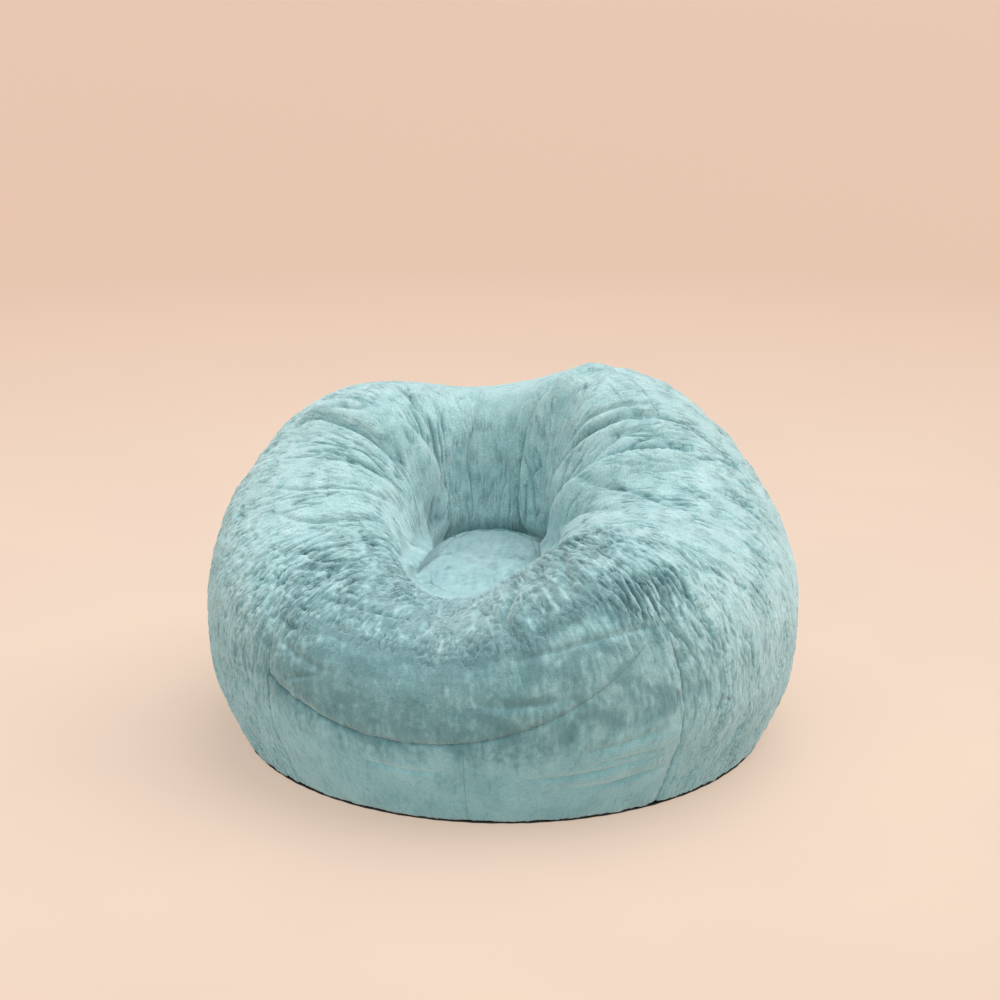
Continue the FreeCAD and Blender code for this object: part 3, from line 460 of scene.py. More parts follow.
def close_shell(name, outer, inner, marks, lay):
    """One closed mesh from a fine outer grid and a coarse inner grid.

    marks are named numbers for each outer point, and lay is how far it is along the cloth.
    """
    wide, tall = outer.shape[0] - 1, outer.shape[1] - 1
    step = BACKING_STEP
    outer_at = np.arange(outer[..., 0].size).reshape(outer.shape[:2])
    inner_at = outer_at.size + np.arange(inner[..., 0].size).reshape(inner.shape[:2])

    def quads(at):
        return np.stack([at[:-1, :-1], at[1:, :-1], at[1:, 1:], at[:-1, 1:]], -1).reshape(-1, 4)

    def ring(at):
        return np.concatenate([at[:-1, 0], at[-1, :-1], at[:0:-1, -1], at[0, :0:-1]])

    fine, coarse = ring(outer_at), ring(inner_at)
    index = np.arange(len(fine))
    following = np.roll(fine, -1)
    segment = index // step
    late = (index % step) >= step // 2
    knot = coarse[(segment + late) % len(coarse)]
    fans = np.stack([following, fine, knot], -1)
    middles = fine[np.arange(len(coarse)) * step + step // 2]
    wedges = np.stack([middles, coarse, np.roll(coarse, -1)], -1)
    triangles = np.vstack([fans, wedges])
    sheets = np.vstack([quads(outer_at), quads(inner_at)[:, ::-1]])

    mesh = bpy.data.meshes.new(name)
    points = np.vstack([outer.reshape(-1, 3), inner.reshape(-1, 3)])
    corners = np.concatenate([sheets.ravel(), triangles.ravel()])
    mesh.vertices.add(len(points))
    mesh.vertices.foreach_set("co", points.astype(np.float32).ravel())
    mesh.loops.add(len(corners))
    mesh.loops.foreach_set("vertex_index", corners.astype(np.int32))
    starts = np.concatenate([np.arange(len(sheets)) * 4,
                             len(sheets) * 4 + np.arange(len(triangles)) * 3])
    mesh.polygons.add(len(starts))
    mesh.polygons.foreach_set("loop_start", starts.astype(np.int32))
    mesh.update(calc_edges=True)
    mesh.polygons.foreach_set("use_smooth", np.arange(len(starts)) < len(sheets))

    for label, values in marks.items():
        layer = mesh.attributes.new(label, "FLOAT", "POINT")
        values = np.concatenate([values.ravel(), values[::step, ::step].ravel()])
        layer.data.foreach_set("value", values.astype(np.float32))
    layer = mesh.attributes.new("lay", "FLOAT_VECTOR", "POINT")
    values = np.vstack([lay.reshape(-1, 3), lay[::step, ::step].reshape(-1, 3)])
    layer.data.foreach_set("vector", values.astype(np.float32).ravel())

    # the map: pile over most of it, backing and edge in a strip above
    def spread(count_a, count_b, low, high):
        a, b = np.meshgrid(np.linspace(low[0], high[0], count_a),
                           np.linspace(low[1], high[1], count_b), indexing="ij")
        return np.stack([a, b], -1).reshape(-1, 2)

    on_outer = spread(wide + 1, tall + 1, (0.01, 0.01), (0.99, 0.80))
    on_inner = spread(*inner.shape[:2], (0.01, 0.84), (0.48, 0.99))
    sheet_map = np.vstack([on_outer, on_inner])[sheets.ravel()]
    along = np.linspace(0, 1, len(fine) + 1)
    fan_map = np.stack([np.stack([along[1:], along[:-1],
                                  along[np.minimum((segment + late) * step, len(fine))]], -1),
                        np.stack([np.ones(len(fine)), np.ones(len(fine)),
                                  np.zeros(len(fine))], -1)], -1).reshape(-1, 2)
    firsts = np.arange(len(coarse)) * step
    wedge_map = np.stack([np.stack([along[firsts + step // 2], along[firsts],
                                    along[firsts + step]], -1),
                          np.stack([np.ones(len(coarse)), np.zeros(len(coarse)),
                                    np.zeros(len(coarse))], -1)], -1).reshape(-1, 2)
    edge_map = np.vstack([fan_map, wedge_map]) * [0.47, 0.15] + [0.52, 0.84]
    layer = mesh.uv_layers.new(name=UV_NAME)
    layer.data.foreach_set("uv", np.vstack([sheet_map, edge_map]).astype(np.float32).ravel())
    return set_down(name, mesh)


def panel(name, bearing, place, seams, points=None, out=None, cloth=None):
    """A fur panel over a grid of bearings and places.

    seams holds, for the first and last bearing and the first and last place, the depth in
    millimetres to which the seam there draws the pile in, one number or one for each point.
    """
    if points is None:
        points, out = skin(bearing, place), outward(bearing, place)
        cloth = cloth_at(bearing, place, points)
    height, roots, tone, ruffled = pile(cloth)

    def lengths(axis):
        part = np.linalg.norm(np.diff(points, axis=axis), axis=-1)
        start = np.zeros_like(np.take(part, [0], axis))
        run = np.concatenate([start, np.cumsum(part, axis=axis)], axis)
        return run, np.take(run, [-1], axis) - run

    across_run, across_left = lengths(0)
    along_run, along_left = lengths(1)
    groove = np.zeros_like(height)
    for index, (gap, depth) in enumerate(zip((across_run, across_left, along_run, along_left),
                                             seams)):
        beside = cloth["run"] if index < 2 else cloth["turn"] * 2 * np.pi * cloth["radius"]
        # the pile closes over a seam here and there
        open_here = smooth_step(bumps(beside / 0.024, gap / 0.5 + 3, 60 + index // 2), -0.75, 0.35)
        depth = depth * (0.35 + 0.65 * open_here)
        pulled_in, drawn, puckered = (np.exp(-(gap / wide) ** power) for wide, power in (
            (SEAM_WIDE, 1.3), (0.014, 1), (0.022, 1)))
        pucker = valley(bumps(beside / 0.016, gap / 0.05, 70 + index // 2), 0.25)
        groove -= depth / 1000 * (0.7 * pulled_in + 0.3 * drawn + 0.35 * puckered * pucker)
        # painted shade: the colour darkens along the seam's groove
        roots = np.maximum(roots, np.clip(0.22 * depth, 0, 1)
                           * np.exp(-(gap / SEAM_DARK_WIDE) ** 1.5))
    # the pile's roots stop at the backing, which gives a little
    total = height + groove
    total = np.where(total < -PILE_DEPTH, -PILE_DEPTH - BACKING_GIVE
                     * np.tanh((-PILE_DEPTH - total) / BACKING_GIVE), total)
    settled, deep = settle(points, out)
    outer = settled + out * total[..., None]
    # painted shade: the colour darkens deep in a fold
    roots = np.maximum(roots, 0.9 * deep)
    step = BACKING_STEP
    inner = (settle(points[::step, ::step], out[::step, ::step], under=True)[0]
             - out[::step, ::step] * COVER_THICK)
    turn = np.radians(bearing)
    lay = np.stack([LAY_RADIUS * turn, cloth["run"], 0 * turn], -1)
    # painted shade in the colour: one mark darkens crevices, folds and seams, another darkens the
    # front, lip and seat and lightens the arms' rolls, and low marks where the colour is cooled
    # against the floor's warm light
    marks = {"roots": roots, "tone": tone, "ruffled": ruffled,
             "low": 1 - smooth_step(cloth["place"], 60, 330)}
    piece = close_shell(name, outer, inner, marks, lay)
    piece.data.materials.append(PLUSH)
    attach(piece, "bag")
    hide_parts(name + "_panel")
    return piece


# ---------------------------------------------------------------- the plush
# Long-pile polyester plush: knitted backing with a dense pile of fine crimped fibres,
# dyed pale blue-green. It looks matt, with painted shade in its creases, folds and seams
# and on the front, lip and seat, and painted light on the arms' rolls. It is pale and
# soft-edged where the light comes through the tips of the fibres.

def from_hex(code):
    """Linear colour for a screen colour such as "a0c8c8"."""
    parts = [int(code[k:k + 2], 16) / 255 for k in (0, 2, 4)]
    return [p / 12.92 if p <= 0.04045 else ((p + 0.055) / 1.055) ** 2.4 for p in parts] + [1.0]


def add_node(tree, kind, settings=None, inputs=None):
    """Adds a node with these settings, its inputs set to values or linked from (node, output)."""
    node = tree.nodes.new("ShaderNode" + kind)
    for name, value in (settings or {}).items():
        setattr(node, name, value)
    for name, value in (inputs or {}).items():
        socket = node.inputs[name]
        if isinstance(value, tuple):
            tree.links.new(value[0].outputs[value[1]], socket)
        else:
            socket.default_value = value
    return node


def new_material(name):
    """A material, its empty node tree, and in that the place on the piece."""
    material = bpy.data.materials.new(name)
    material.use_nodes = True
    material.node_tree.nodes.clear()
    return material, material.node_tree, add_node(material.node_tree, "TexCoord")


def grain(tree, where, wide, **more):
    """Noise whose grains are this wide, in metres, over the piece."""
    return add_node(tree, "TexNoise", inputs={"Vector": (where, "Object"), "Scale": 1 / wide, **more})


def work(tree, operation, *values, clamp=False):
    """Works out one number from up to three."""
    return add_node(tree, "Math", {"operation": operation, "use_clamp": clamp},
                    dict(enumerate(values)))


def blend(tree, first, second, share=1.0, kind="MULTIPLY"):
    """Two colours, the second laid over the first by this share."""
    return add_node(tree, "MixRGB", {"blend_type": kind}, {
        "Fac": share, "Color1": first, "Color2": second})


def roughen(tree, height, strength, distance, invert=False):
    """Fine relief of this strength and distance, which goes to a surface's normal."""
    return add_node(tree, "Bump", {"invert": invert}, {
        "Strength": strength, "Distance": distance, "Height": height})


def coat(tree, inputs):
    """The material's surface with these inputs, joined to its output."""
    surface = add_node(tree, "BsdfPrincipled", inputs=inputs)
    add_node(tree, "OutputMaterial", inputs={"Surface": (surface, "BSDF")})


def ramp(tree, value, stops):
    """A colour ramp from this output through [(share, screen colour)]."""
    node = add_node(tree, "ValToRGB", inputs={"Fac": value})
    node.color_ramp.elements.remove(node.color_ramp.elements[1])
    for index, (share, code) in enumerate(stops):
        element = node.color_ramp.elements[0] if index == 0 else node.color_ramp.elements.new(share)
        element.position, element.color = share, from_hex(code)
    return node


PLUSH, tree, where = new_material("polyester_plush")
roots, tone, ruffled, lay, low = (add_node(tree, "Attribute", {"attribute_name": name})
                                  for name in ("roots", "tone", "ruffled", "lay", "low"))
# the nap lies this way or that in patches as wide as three fingers
patches = grain(tree, where, 0.055, Detail=4.0, Roughness=0.6, Distortion=0.6)
# crimped fibres gather in tips about 2.5 mm across
fibres = grain(tree, where, 0.0027, Detail=3.0, Roughness=0.75)
# ruffled tips part in dashes along the cloth, 9 mm apart and 40 mm long
wander = grain(tree, where, 0.05)
shift = add_node(tree, "VectorMath", {"operation": "SCALE"}, {0: (wander, "Color"), "Scale": 0.018})
lay_bent = add_node(tree, "VectorMath", {"operation": "ADD"}, {0: (lay, "Vector"),
                                                               1: (shift, "Vector")})
lay_drawn = add_node(tree, "VectorMath", {"operation": "MULTIPLY"}, {
    0: (lay_bent, "Vector"), 1: [1 / 0.009, 1 / 0.042, 1.0]})
parting = add_node(tree, "TexNoise", inputs={"Vector": (lay_drawn, "Vector"), "Scale": 1.0,
                                             "Detail": 2.0, "Roughness": 0.55})
from_middle = work(tree, "SUBTRACT", (parting, "Fac"), 0.5)
off_line = work(tree, "ABSOLUTE", (from_middle, "Value"))
line = add_node(tree, "MapRange", inputs={"Value": (off_line, "Value"), "From Min": 0.0,
                                          "From Max": 0.07, "To Min": 1.0, "To Max": 0.0})
here = grain(tree, where, 0.030, Detail=1.0)
here_share = add_node(tree, "MapRange", inputs={"Value": (here, "Fac"), "From Min": 0.46,
                                                "From Max": 0.60})
dash = work(tree, "MULTIPLY", (line, "Result"), (here_share, "Result"))
dashes = work(tree, "MULTIPLY", (dash, "Value"), (ruffled, "Fac"))

tint = ramp(tree, (patches, "Fac"), [(0.34, "98bcbf"), (0.48, "a8c8ca"), (0.60, "aeccce"),
                                     (0.70, "b8d4d5")])
fibre_depth = work(tree, "MULTIPLY_ADD", (ruffled, "Fac"), 0.60, 0.75)
fibre_off = work(tree, "SUBTRACT", (fibres, "Fac"), 0.5)
fibre_tint = work(tree, "MULTIPLY_ADD", (fibre_off, "Value"), (fibre_depth, "Value"), 1.0)
# painted shade and light: the pile's tone varies at random in its tufts, and is darkened on the
# front, lip and seat and lightened on the arms' rolls
tone_and_shade_share = add_node(tree, "MapRange", inputs={"Value": (tone, "Fac"), "From Min": -0.8,
                                                "From Max": 0.8})
tone_and_shade_tint = ramp(tree, (tone_and_shade_share, "Result"), [(0.0, "a0b2b5"), (0.18, "b0c2c5"),
                                                (0.45, "edf4f5"), (0.8, "ffffff")])
# painted shade: where the pile opens in creases, folds, seams and parted dashes, its colour is mixed
# towards a darker teal
dash_share = work(tree, "MULTIPLY", (dashes, "Value"), 0.45)
crevice_shade_share = work(tree, "MULTIPLY_ADD", (roots, "Fac"), 0.6, (dash_share, "Value"), clamp=True)
with_crevice_shade = blend(tree, (tint, "Color"), from_hex("5f8c90"), (crevice_shade_share, "Value"), "MIX")
toned_and_shaded = blend(tree, (with_crevice_shade, "Color"), (tone_and_shade_tint, "Color"))
# painted shade: low down, the colour is multiplied by a pale cool blue, darker in red, against the
# warm light that the floor throws back
cooled_low_down = blend(tree, (toned_and_shaded, "Color"), from_hex("d2f3ff"), (low, "Fac"))
bright = blend(tree, (cooled_low_down, "Color"), (fibre_tint, "Value"))
fuzz_height = work(tree, "MULTIPLY_ADD", (dashes, "Value"), -0.9, (fibres, "Fac"))
fuzz = roughen(tree, (fuzz_height, "Value"), 0.85, 0.0018)
coat(tree, {
    "Base Color": (bright, "Color"), "Roughness": 0.95, "Specular IOR Level": 0.15,
    "Sheen Weight": 1.0, "Sheen Roughness": 0.45, "Sheen Tint": from_hex("e6f6f8"),
    "Normal": (fuzz, "Normal")})

# ---------------------------------------------------------------- the fur panels
# Eight panels cut from the plush: a front with a curved seam over two lower fronts, an arm
# each side, a seat, an inner back and a back. They are sewn right sides together, so the
# pile rolls down into every seam.

HALF_SEAM = 0.00006
FRONT_SEAM = 39.0
REAR_SEAM_LOW, REAR_SEAM_TOP, REAR_SEAM_INNER = 86.0, 117.0, 150.0
CREST = RIM_TOP - 14
SMILE_LEFT, SMILE_MIDDLE, SMILE_RIGHT = 0.200, 0.145, 0.305
PANEL_FOOT = SKIRT_TOP * 0.0034 / SKIRT_HEIGHT
ZIP_HEIGHT = 0.014
ZIP_ANGLE = 118.0
ZIP_END_ROOM, FOOT_DIP = 7.0, 10.0
BACK_FOOT = SKIRT_TOP * (ZIP_HEIGHT + 0.006) / (SKIRT_HEIGHT * math.hypot(1, SKIRT_SLOPE))


def smile(bearing):
    """Place of the curved seam across the front."""
    share = bearing / FRONT_SEAM
    height = (SMILE_MIDDLE + (SMILE_RIGHT - SMILE_LEFT) / 2 * share
              + ((SMILE_LEFT + SMILE_RIGHT) / 2 - SMILE_MIDDLE) * share ** 2)
    low, high = SKIRT_TOP + 0 * bearing, RIM_TOP + 0 * bearing
    for _ in range(40):
        middle = (low + high) / 2
        under = skin(bearing, middle)[..., 2] < height
        low, high = np.where(under, middle, low), np.where(under, high, middle)
    return (low + high) / 2


def rear_seam(place):
    """Bearing of the seam behind each arm, which runs back as it rises and enters the hollow."""
    return (REAR_SEAM_LOW
            + (REAR_SEAM_TOP - REAR_SEAM_LOW) * smooth_step(place, WALL, RIM_TOP)
            + (REAR_SEAM_INNER - REAR_SEAM_TOP) * smooth_step(place, RIM_TOP, SEAT_CREASE))


def back_foot(bearing):
    """The back panel's foot, which is held up over the zip and comes down beside it."""
    beside = np.abs(bearing - 180) - ZIP_ANGLE / 2 - ZIP_END_ROOM
    return BACK_FOOT + (PANEL_FOOT - BACK_FOOT) * smooth_step(beside, 0, FOOT_DIP)


def panel_grid(side_a, side_b, foot, head, wide, tall):
    """Bearings and places of a panel's grid, evenly spaced along the cloth."""
    share = np.linspace(0, 1, wide + 1)
    start, end = side_a(np.array(WALL)), side_b(np.array(WALL))
    places = np.zeros((wide + 1, tall + 1))
    for index, bearing in enumerate(start + (end - start) * share):
        places[index] = steps_between(foot(bearing), head(bearing), tall, bearing)
    a, b = side_a(places), side_b(places)
    radius = np.linalg.norm(skin(a, places)[..., :2], axis=-1)
    inset = np.degrees(HALF_SEAM / radius)
    return a + inset + (b - a - 2 * inset) * share[:, None], places


def level(value):
    """A seam that stays at one bearing or one place."""
    return lambda other: value + 0.0 * other


def seat_seam(bearing):
    """Depth of the seam round the seat: it sinks in at the back, under the arms' rolls."""
    away = np.abs((bearing + 180) % 360 - 180)
    return 3.0 * smooth_step(away, 95, 140)


def smile_seam(bearing):
    """Depth of the curved seam: pulled in on the left, and lost in the pile to the right."""
    return 5.5 - 4.2 * smooth_step(bearing, 0, 30)


def behind_arm(place):
    """Depth of the seam behind the right arm, which pulls in deep below the crest."""
    return 8.0 - 4.0 * smooth_step(place, CREST - 60, CREST)


GAP = 0.06     # of a place, between panels that meet end to end
PANELS = [
    ("front", level(-FRONT_SEAM), level(FRONT_SEAM), lambda b: smile(b) + GAP,
     level(SEAT_CREASE - GAP), 264, 184, (2.4, 3.8, smile_seam, seat_seam), 0.55),
    ("front_lower_left", level(-FRONT_SEAM), level(0.0), level(PANEL_FOOT),
     lambda b: smile(b) - GAP, 136, 72, (2.4, 1.2, 1.5, smile_seam), 0.6),
    ("front_lower_right", level(0.0), level(FRONT_SEAM), level(PANEL_FOOT),
     lambda b: smile(b) - GAP, 136, 112, (1.2, 3.8, 1.5, smile_seam), 0.6),
    ("right_arm", level(FRONT_SEAM), rear_seam, level(PANEL_FOOT), level(SEAT_CREASE - GAP),
     240, 352, (3.8, behind_arm, 1.5, seat_seam), 0.7),
    ("left_arm", lambda p: -rear_seam(p), level(-FRONT_SEAM), level(PANEL_FOOT),
     level(SEAT_CREASE - GAP), 240, 352, (4, 2.4, 1.5, seat_seam), 0.7),
    ("inner_back", rear_seam, lambda p: 360 - rear_seam(p), level(CREST + GAP),
     level(SEAT_CREASE - GAP), 264, 160, (4, 4, 2, seat_seam), 0.5),
    ("back", rear_seam, lambda p: 360 - rear_seam(p), back_foot, level(CREST - GAP),
     400, 232, (behind_arm, 4, 1, 2), 0.7),
]
for name, side_a, side_b, foot, head, wide, tall, seams, fill in PANELS:
    bearing, place = panel_grid(side_a, side_b, foot, head, wide, tall)
    seams = [seam(place if side < 2 else bearing) if callable(seam) else seam
             for side, seam in enumerate(seams)]
    panel(name, bearing, place, seams)

# The seat is a round panel at the bottom of the hollow, laid out from a square.
a, b = np.meshgrid(np.linspace(-1, 1, 97), np.linspace(-1, 1, 97), indexing="ij")
wider = np.abs(a) > np.abs(b)
reach = np.where(wider, a, b)
safe = np.where(reach == 0, 1.0, reach)
angle = np.where(wider, np.pi / 4 * b / safe, np.pi / 2 - np.pi / 4 * a / safe)
east, north = reach * np.cos(angle), reach * np.sin(angle)
seat_bearing = np.degrees(np.arctan2(east, -north))
edge = around(CREASE_RADIUS, seat_bearing) - HALF_SEAM
seat_radius = np.hypot(east, north) * edge
seat_share = np.clip((edge - seat_radius) / (edge - SEAT_FLAT_RADIUS), 0, 1)
seat_place = SEAT_CREASE + (SEAT_FLAT - SEAT_CREASE) * seat_share
seat_points = np.stack([HOLLOW_X + seat_radius * np.sin(np.radians(seat_bearing)),
                        HOLLOW_Y - seat_radius * np.cos(np.radians(seat_bearing)),
                        skin(seat_bearing, seat_place)[..., 2]], -1)
seat_out = np.broadcast_to([0.0, 0.0, 1.0], seat_points.shape).copy()
SEAT_LAY = 0.30    # the seat's pile is laid out as if it went round the bag at this radius
seat_cloth = {"turn": 0.5 + seat_points[..., 0] / (2 * np.pi * SEAT_LAY),
              "x": seat_points[..., 0], "y": seat_points[..., 1],
              "radius": np.full(seat_radius.shape, SEAT_LAY),
              "run": seat_points[..., 1] + 2.0, "bearing": 0 * seat_radius + 20.0,
              "place": seat_place}
panel("seat", seat_bearing, seat_place, (seat_seam(seat_bearing),) * 4, seat_points,
      seat_out, seat_cloth)

# ---------------------------------------------------------------- the base panel
# A disc of dark woven polypropylene under the bag, 3 mm with its non-slip backing. Its
# edge is turned down in a corded hem, and the fur panels are sewn to it.

BASE_CLOTH, tree, where = new_material("woven_polypropylene")
# threads 1.2 mm apart would not show; drawn 3 mm apart
warp, weft = (add_node(tree, "TexWave", {"bands_direction": direction}, {
    "Vector": (where, "Object"), "Scale": 1 / 0.003 / 6.28, "Distortion": 0.4})
    for direction in "XY")
weave = work(tree, "MULTIPLY", (warp, "Fac"), (weft, "Fac"))
weave_tint = ramp(tree, (weave, "Value"), [(0.0, "1d2224"), (1.0, "33393b")])
weave_bump = roughen(tree, (weave, "Value"), 0.6, 0.0005)
coat(tree, {
    "Base Color": (weave_tint, "Color"), "Roughness": 0.75, "Specular IOR Level": 0.3,
    "Normal": (weave_bump, "Normal")})


def lathe(name, rows, material):
    """A closed mesh from rings of points, the first and the last drawn to one point."""
    count = len(rows[0])
    points = [tuple(np.mean(rows[0], 0))] + [tuple(p) for row in rows for p in row]
    points.append(tuple(np.mean(rows[-1], 0)))
    faces = []
    for k in range(count):
        faces.append((0, 1 + (k + 1) % count, 1 + k))
    for j in range(len(rows) - 1):
        for k in range(count):
            a, b = 1 + j * count + k, 1 + j * count + (k + 1) % count
            faces.append((a, b, b + count, a + count))
    last = 1 + (len(rows) - 1) * count
    for k in range(count):
        faces.append((len(points) - 1, last + k, last + (k + 1) % count))
    mesh = bpy.data.meshes.new(name)
    mesh.from_pydata(points, [], faces)
    mesh.polygons.foreach_set("use_smooth", np.ones(len(mesh.polygons), bool))
    mesh.materials.append(material)
    return set_down(name, mesh)


BASE_THICK = 0.003
turns = np.radians(np.arange(0, 360, 0.75))
ripple = 0.0004 * np.sin(turns * 96) + 0.0003 * np.sin(turns * 41 + 1.0)
rings = []
for radius, height, gathers in (
        (0.10, 0.0, 0), (0.30, 0.0, 0), (0.41, 0.0, 0.3), (0.4260, 0.0001, 0.6),
        (0.4290, 0.0002, 1), (0.4305, 0.0008, 1), (0.4310, 0.0015, 1), (0.4305, 0.0023, 1),
        (0.4290, 0.0029, 1), (0.4270, 0.0029, 1), (0.4255, 0.0024, 1), (0.4240, 0.0024, 0.6),
        (0.41, 0.0029, 0.3), (0.30, 0.0029, 0), (0.10, 0.0029, 0)):
    edge = radius + ripple * gathers
    rings.append(np.stack([edge * np.cos(turns), edge * np.sin(turns),
                           np.full(len(turns), height)], -1))
base = lathe("base", rings, BASE_CLOTH)
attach(base, "bag")
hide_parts("base_panel")

# ---------------------------------------------------------------- the cover's zip
# A nylon coil zip low across the back. Its tapes are knitted polyester sewn inside the
# cover, dyed near the plush, and the coils are 0.7 mm nylon wound in close turns.

TAPE, tree, where = new_material("knitted_polyester_tape")
# wales of knitting about 1 mm apart
ribs = grain(tree, where, 0.0012)
tape_tint = ramp(tree, (ribs, "Fac"), [(0.3, "6c9296"), (0.7, "82a8ab")])
tape_bump = roughen(tree, (ribs, "Fac"), 0.5, 0.0003)
coat(tree, {
    "Base Color": (tape_tint, "Color"), "Roughness": 0.8, "Specular IOR Level": 0.3,
    "Sheen Weight": 0.2, "Normal": (tape_bump, "Normal")})

COIL, tree, where = new_material("nylon_coil")
# drawn nylon has faint lines and a waxy shine
lines = grain(tree, where, 0.0008)
coil_tint = ramp(tree, (lines, "Fac"), [(0.3, "7fa6a9"), (0.7, "93b8ba")])
coat(tree, {
    "Base Color": (coil_tint, "Color"), "Roughness": 0.38, "IOR": 1.53})

THREAD, tree, where = new_material("polyester_thread")
# two plies twisted every 0.8 mm
twist = grain(tree, where, 0.0008)
thread_tint = ramp(tree, (twist, "Fac"), [(0.35, "a9c9ca"), (0.65, "c2dcdc")])
coat(tree, {
    "Base Color": (thread_tint, "Color"), "Roughness": 0.6, "Specular IOR Level": 0.4})

ZINC, tree, where = new_material("tumbled_zinc")
# tumbling after casting leaves a soft grey shine with fine dents about 1 mm apart
dents = grain(tree, where, 0.001, Detail=3.0)
zinc_tint = ramp(tree, (dents, "Fac"), [(0.3, "a6a6a2"), (0.7, "c0c0bc")])
zinc_rough = add_node(tree, "MapRange", inputs={"Value": (dents, "Fac"), "To Min": 0.28,
                                                "To Max": 0.45})
zinc_bump = roughen(tree, (dents, "Fac"), 0.3, 0.00008)
coat(tree, {
    "Base Color": (zinc_tint, "Color"), "Metallic": 1.0, "Roughness": (zinc_rough, "Result"),
    "Normal": (zinc_bump, "Normal")})

ZIP_START = 180.0 - ZIP_ANGLE / 2
TAPE_DEPTH = COVER_THICK + 0.0003
TAPE_THICK = 0.0007
TAPE_WIDTH = 0.013
TAPE_SPLIT = 0.0015
COIL_ACROSS = 0.0023
COIL_SPACING = 0.0038
THREAD_HALF = 0.00032
COIL_DEPTH = TAPE_DEPTH - 0.00005 - COIL_ACROSS / 2
SKIRT_LENGTH = math.hypot(1, SKIRT_SLOPE)


def skirt_point(share, up, depth):
    """Points on the zip's line round the skirt: share along it, way up it and depth in it."""
    bearing = np.radians(ZIP_START + ZIP_ANGLE * share)
    radius = BASE_RADIUS + (SKIRT_SLOPE * up - depth) / SKIRT_LENGTH
    height = (up + SKIRT_SLOPE * depth) / SKIRT_LENGTH
    return np.stack([radius * np.sin(bearing), -radius * np.cos(bearing), height + 0 * share], -1)


def coil(name, place_at, length, up, depth):
    """Nylon wound round and round along one edge of a zip."""
    # the real turns lie 1.2 mm apart; drawn 1.8 mm apart
    wire, pitch = 0.00034, 0.0018
    wound = COIL_ACROSS / 2 - wire
    turns = int(length / pitch)
    steps = turns * 9 + 1
    angle = np.linspace(0, 2 * np.pi * turns, steps)
    share = np.linspace(0.5 * pitch / length, 1 - 0.5 * pitch / length, steps)
    line = place_at(share, up + wound * np.cos(angle), depth - wound * np.sin(angle))
    first = place_at(share, up + 2 * wound * np.cos(angle), depth - 2 * wound * np.sin(angle)) - line
    along = unit(np.gradient(line, axis=0))
    first = unit(first - along * np.sum(first * along, -1, keepdims=True))
    second = np.cross(along, first)
    sides = np.arange(5) * 2 * np.pi / 5
    rings = line[:, None] + wire * (first[:, None] * np.cos(sides)[:, None]
                                    + second[:, None] * np.sin(sides)[:, None])
    return lathe(name, list(rings), COIL)


def tape(name, place_at, length, low, high, depth):
    """A knitted tape with a raised cord by the coil and a turned far edge."""
    steps = int(length / 0.004)
    share = np.linspace(0, 1, steps)
    span = high - low
    face = [(0.0, 0.0002), (0.03, 0.0), (0.5, 0.00006), (0.97, 0.0), (1.0, 0.0002)]
    outline = [(low + span * u, depth + d) for u, d in face]
    outline += [(low + span * u, depth + TAPE_THICK - d) for u, d in face[::-1]]
    rows = []
    for t in share:
        sway = 0.00004 * math.sin(t * length / 0.008 * 2 * math.pi)
        rows.append([place_at(np.array(t), u, d + sway) for u, d in outline])
    return lathe(name, [np.array(row).reshape(-1, 3) for row in rows], TAPE)


def stitches(name, place_at, length, lines, depth):
    """Rows of machine stitches that lie on the cloth, 3.5 mm long with their gaps."""
    count = int(length / 0.0035)
    # along half a stitch, and how full its thread is there
    shape = [(-1.0, 0.15), (-0.8, 0.8), (0.0, 1.0), (0.8, 0.8), (1.0, 0.15)]
    points, faces = [], []
    for up in lines:
        for k in range(count):
            middle = (k + 0.5) / count
            half = 0.36 / count
            base_index = len(points)
            for t, size in shape:
                for turn in range(6):
                    angle = turn * math.pi / 3
                    wide = THREAD_HALF * size
                    points.append(tuple(place_at(np.array(middle + half * t),
                                                 up + wide * math.cos(angle),
                                                 depth + wide * math.sin(angle))))
            for j in range(len(shape) - 1):
                for turn in range(6):
                    a = base_index + j * 6 + turn
                    b = base_index + j * 6 + (turn + 1) % 6
                    faces.append((a, b, b + 6, a + 6))
            faces.append(tuple(base_index + turn for turn in range(5, -1, -1)))
            faces.append(tuple(base_index + (len(shape) - 1) * 6 + turn for turn in range(6)))
    mesh = bpy.data.meshes.new(name)
    mesh.from_pydata(points, [], faces)
    mesh.polygons.foreach_set("use_smooth", np.ones(len(mesh.polygons), bool))
    mesh.materials.append(THREAD)
    return set_down(name, mesh)


ZIP_LENGTH = math.radians(ZIP_ANGLE) * (BASE_RADIUS + 0.005)
FIRST_TAPE = 0.0034 * SKIRT_LENGTH - SKIRT_SLOPE * TAPE_DEPTH
for side, sign in (("lower", -1), ("upper", 1)):
    low, high = sorted((ZIP_HEIGHT + sign * TAPE_SPLIT / 2,
                        ZIP_HEIGHT + TAPE_SPLIT / 2 + TAPE_WIDTH if sign > 0 else FIRST_TAPE))
    piece = tape("zip_tape_" + side, skirt_point, ZIP_LENGTH, low, high, TAPE_DEPTH)
    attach(piece, "bag")
    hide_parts("cover_zip_tape_" + side)
    piece = coil("zip_coil_" + side, skirt_point, ZIP_LENGTH,
                 ZIP_HEIGHT + sign * COIL_SPACING / 2, COIL_DEPTH)
    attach(piece, "bag")
    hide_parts("cover_zip_coil_" + side)
piece = stitches("zip_stitches", skirt_point, ZIP_LENGTH,
                 (ZIP_HEIGHT - 0.0062, ZIP_HEIGHT + 0.0062), TAPE_DEPTH - 0.0001)
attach(piece, "bag")

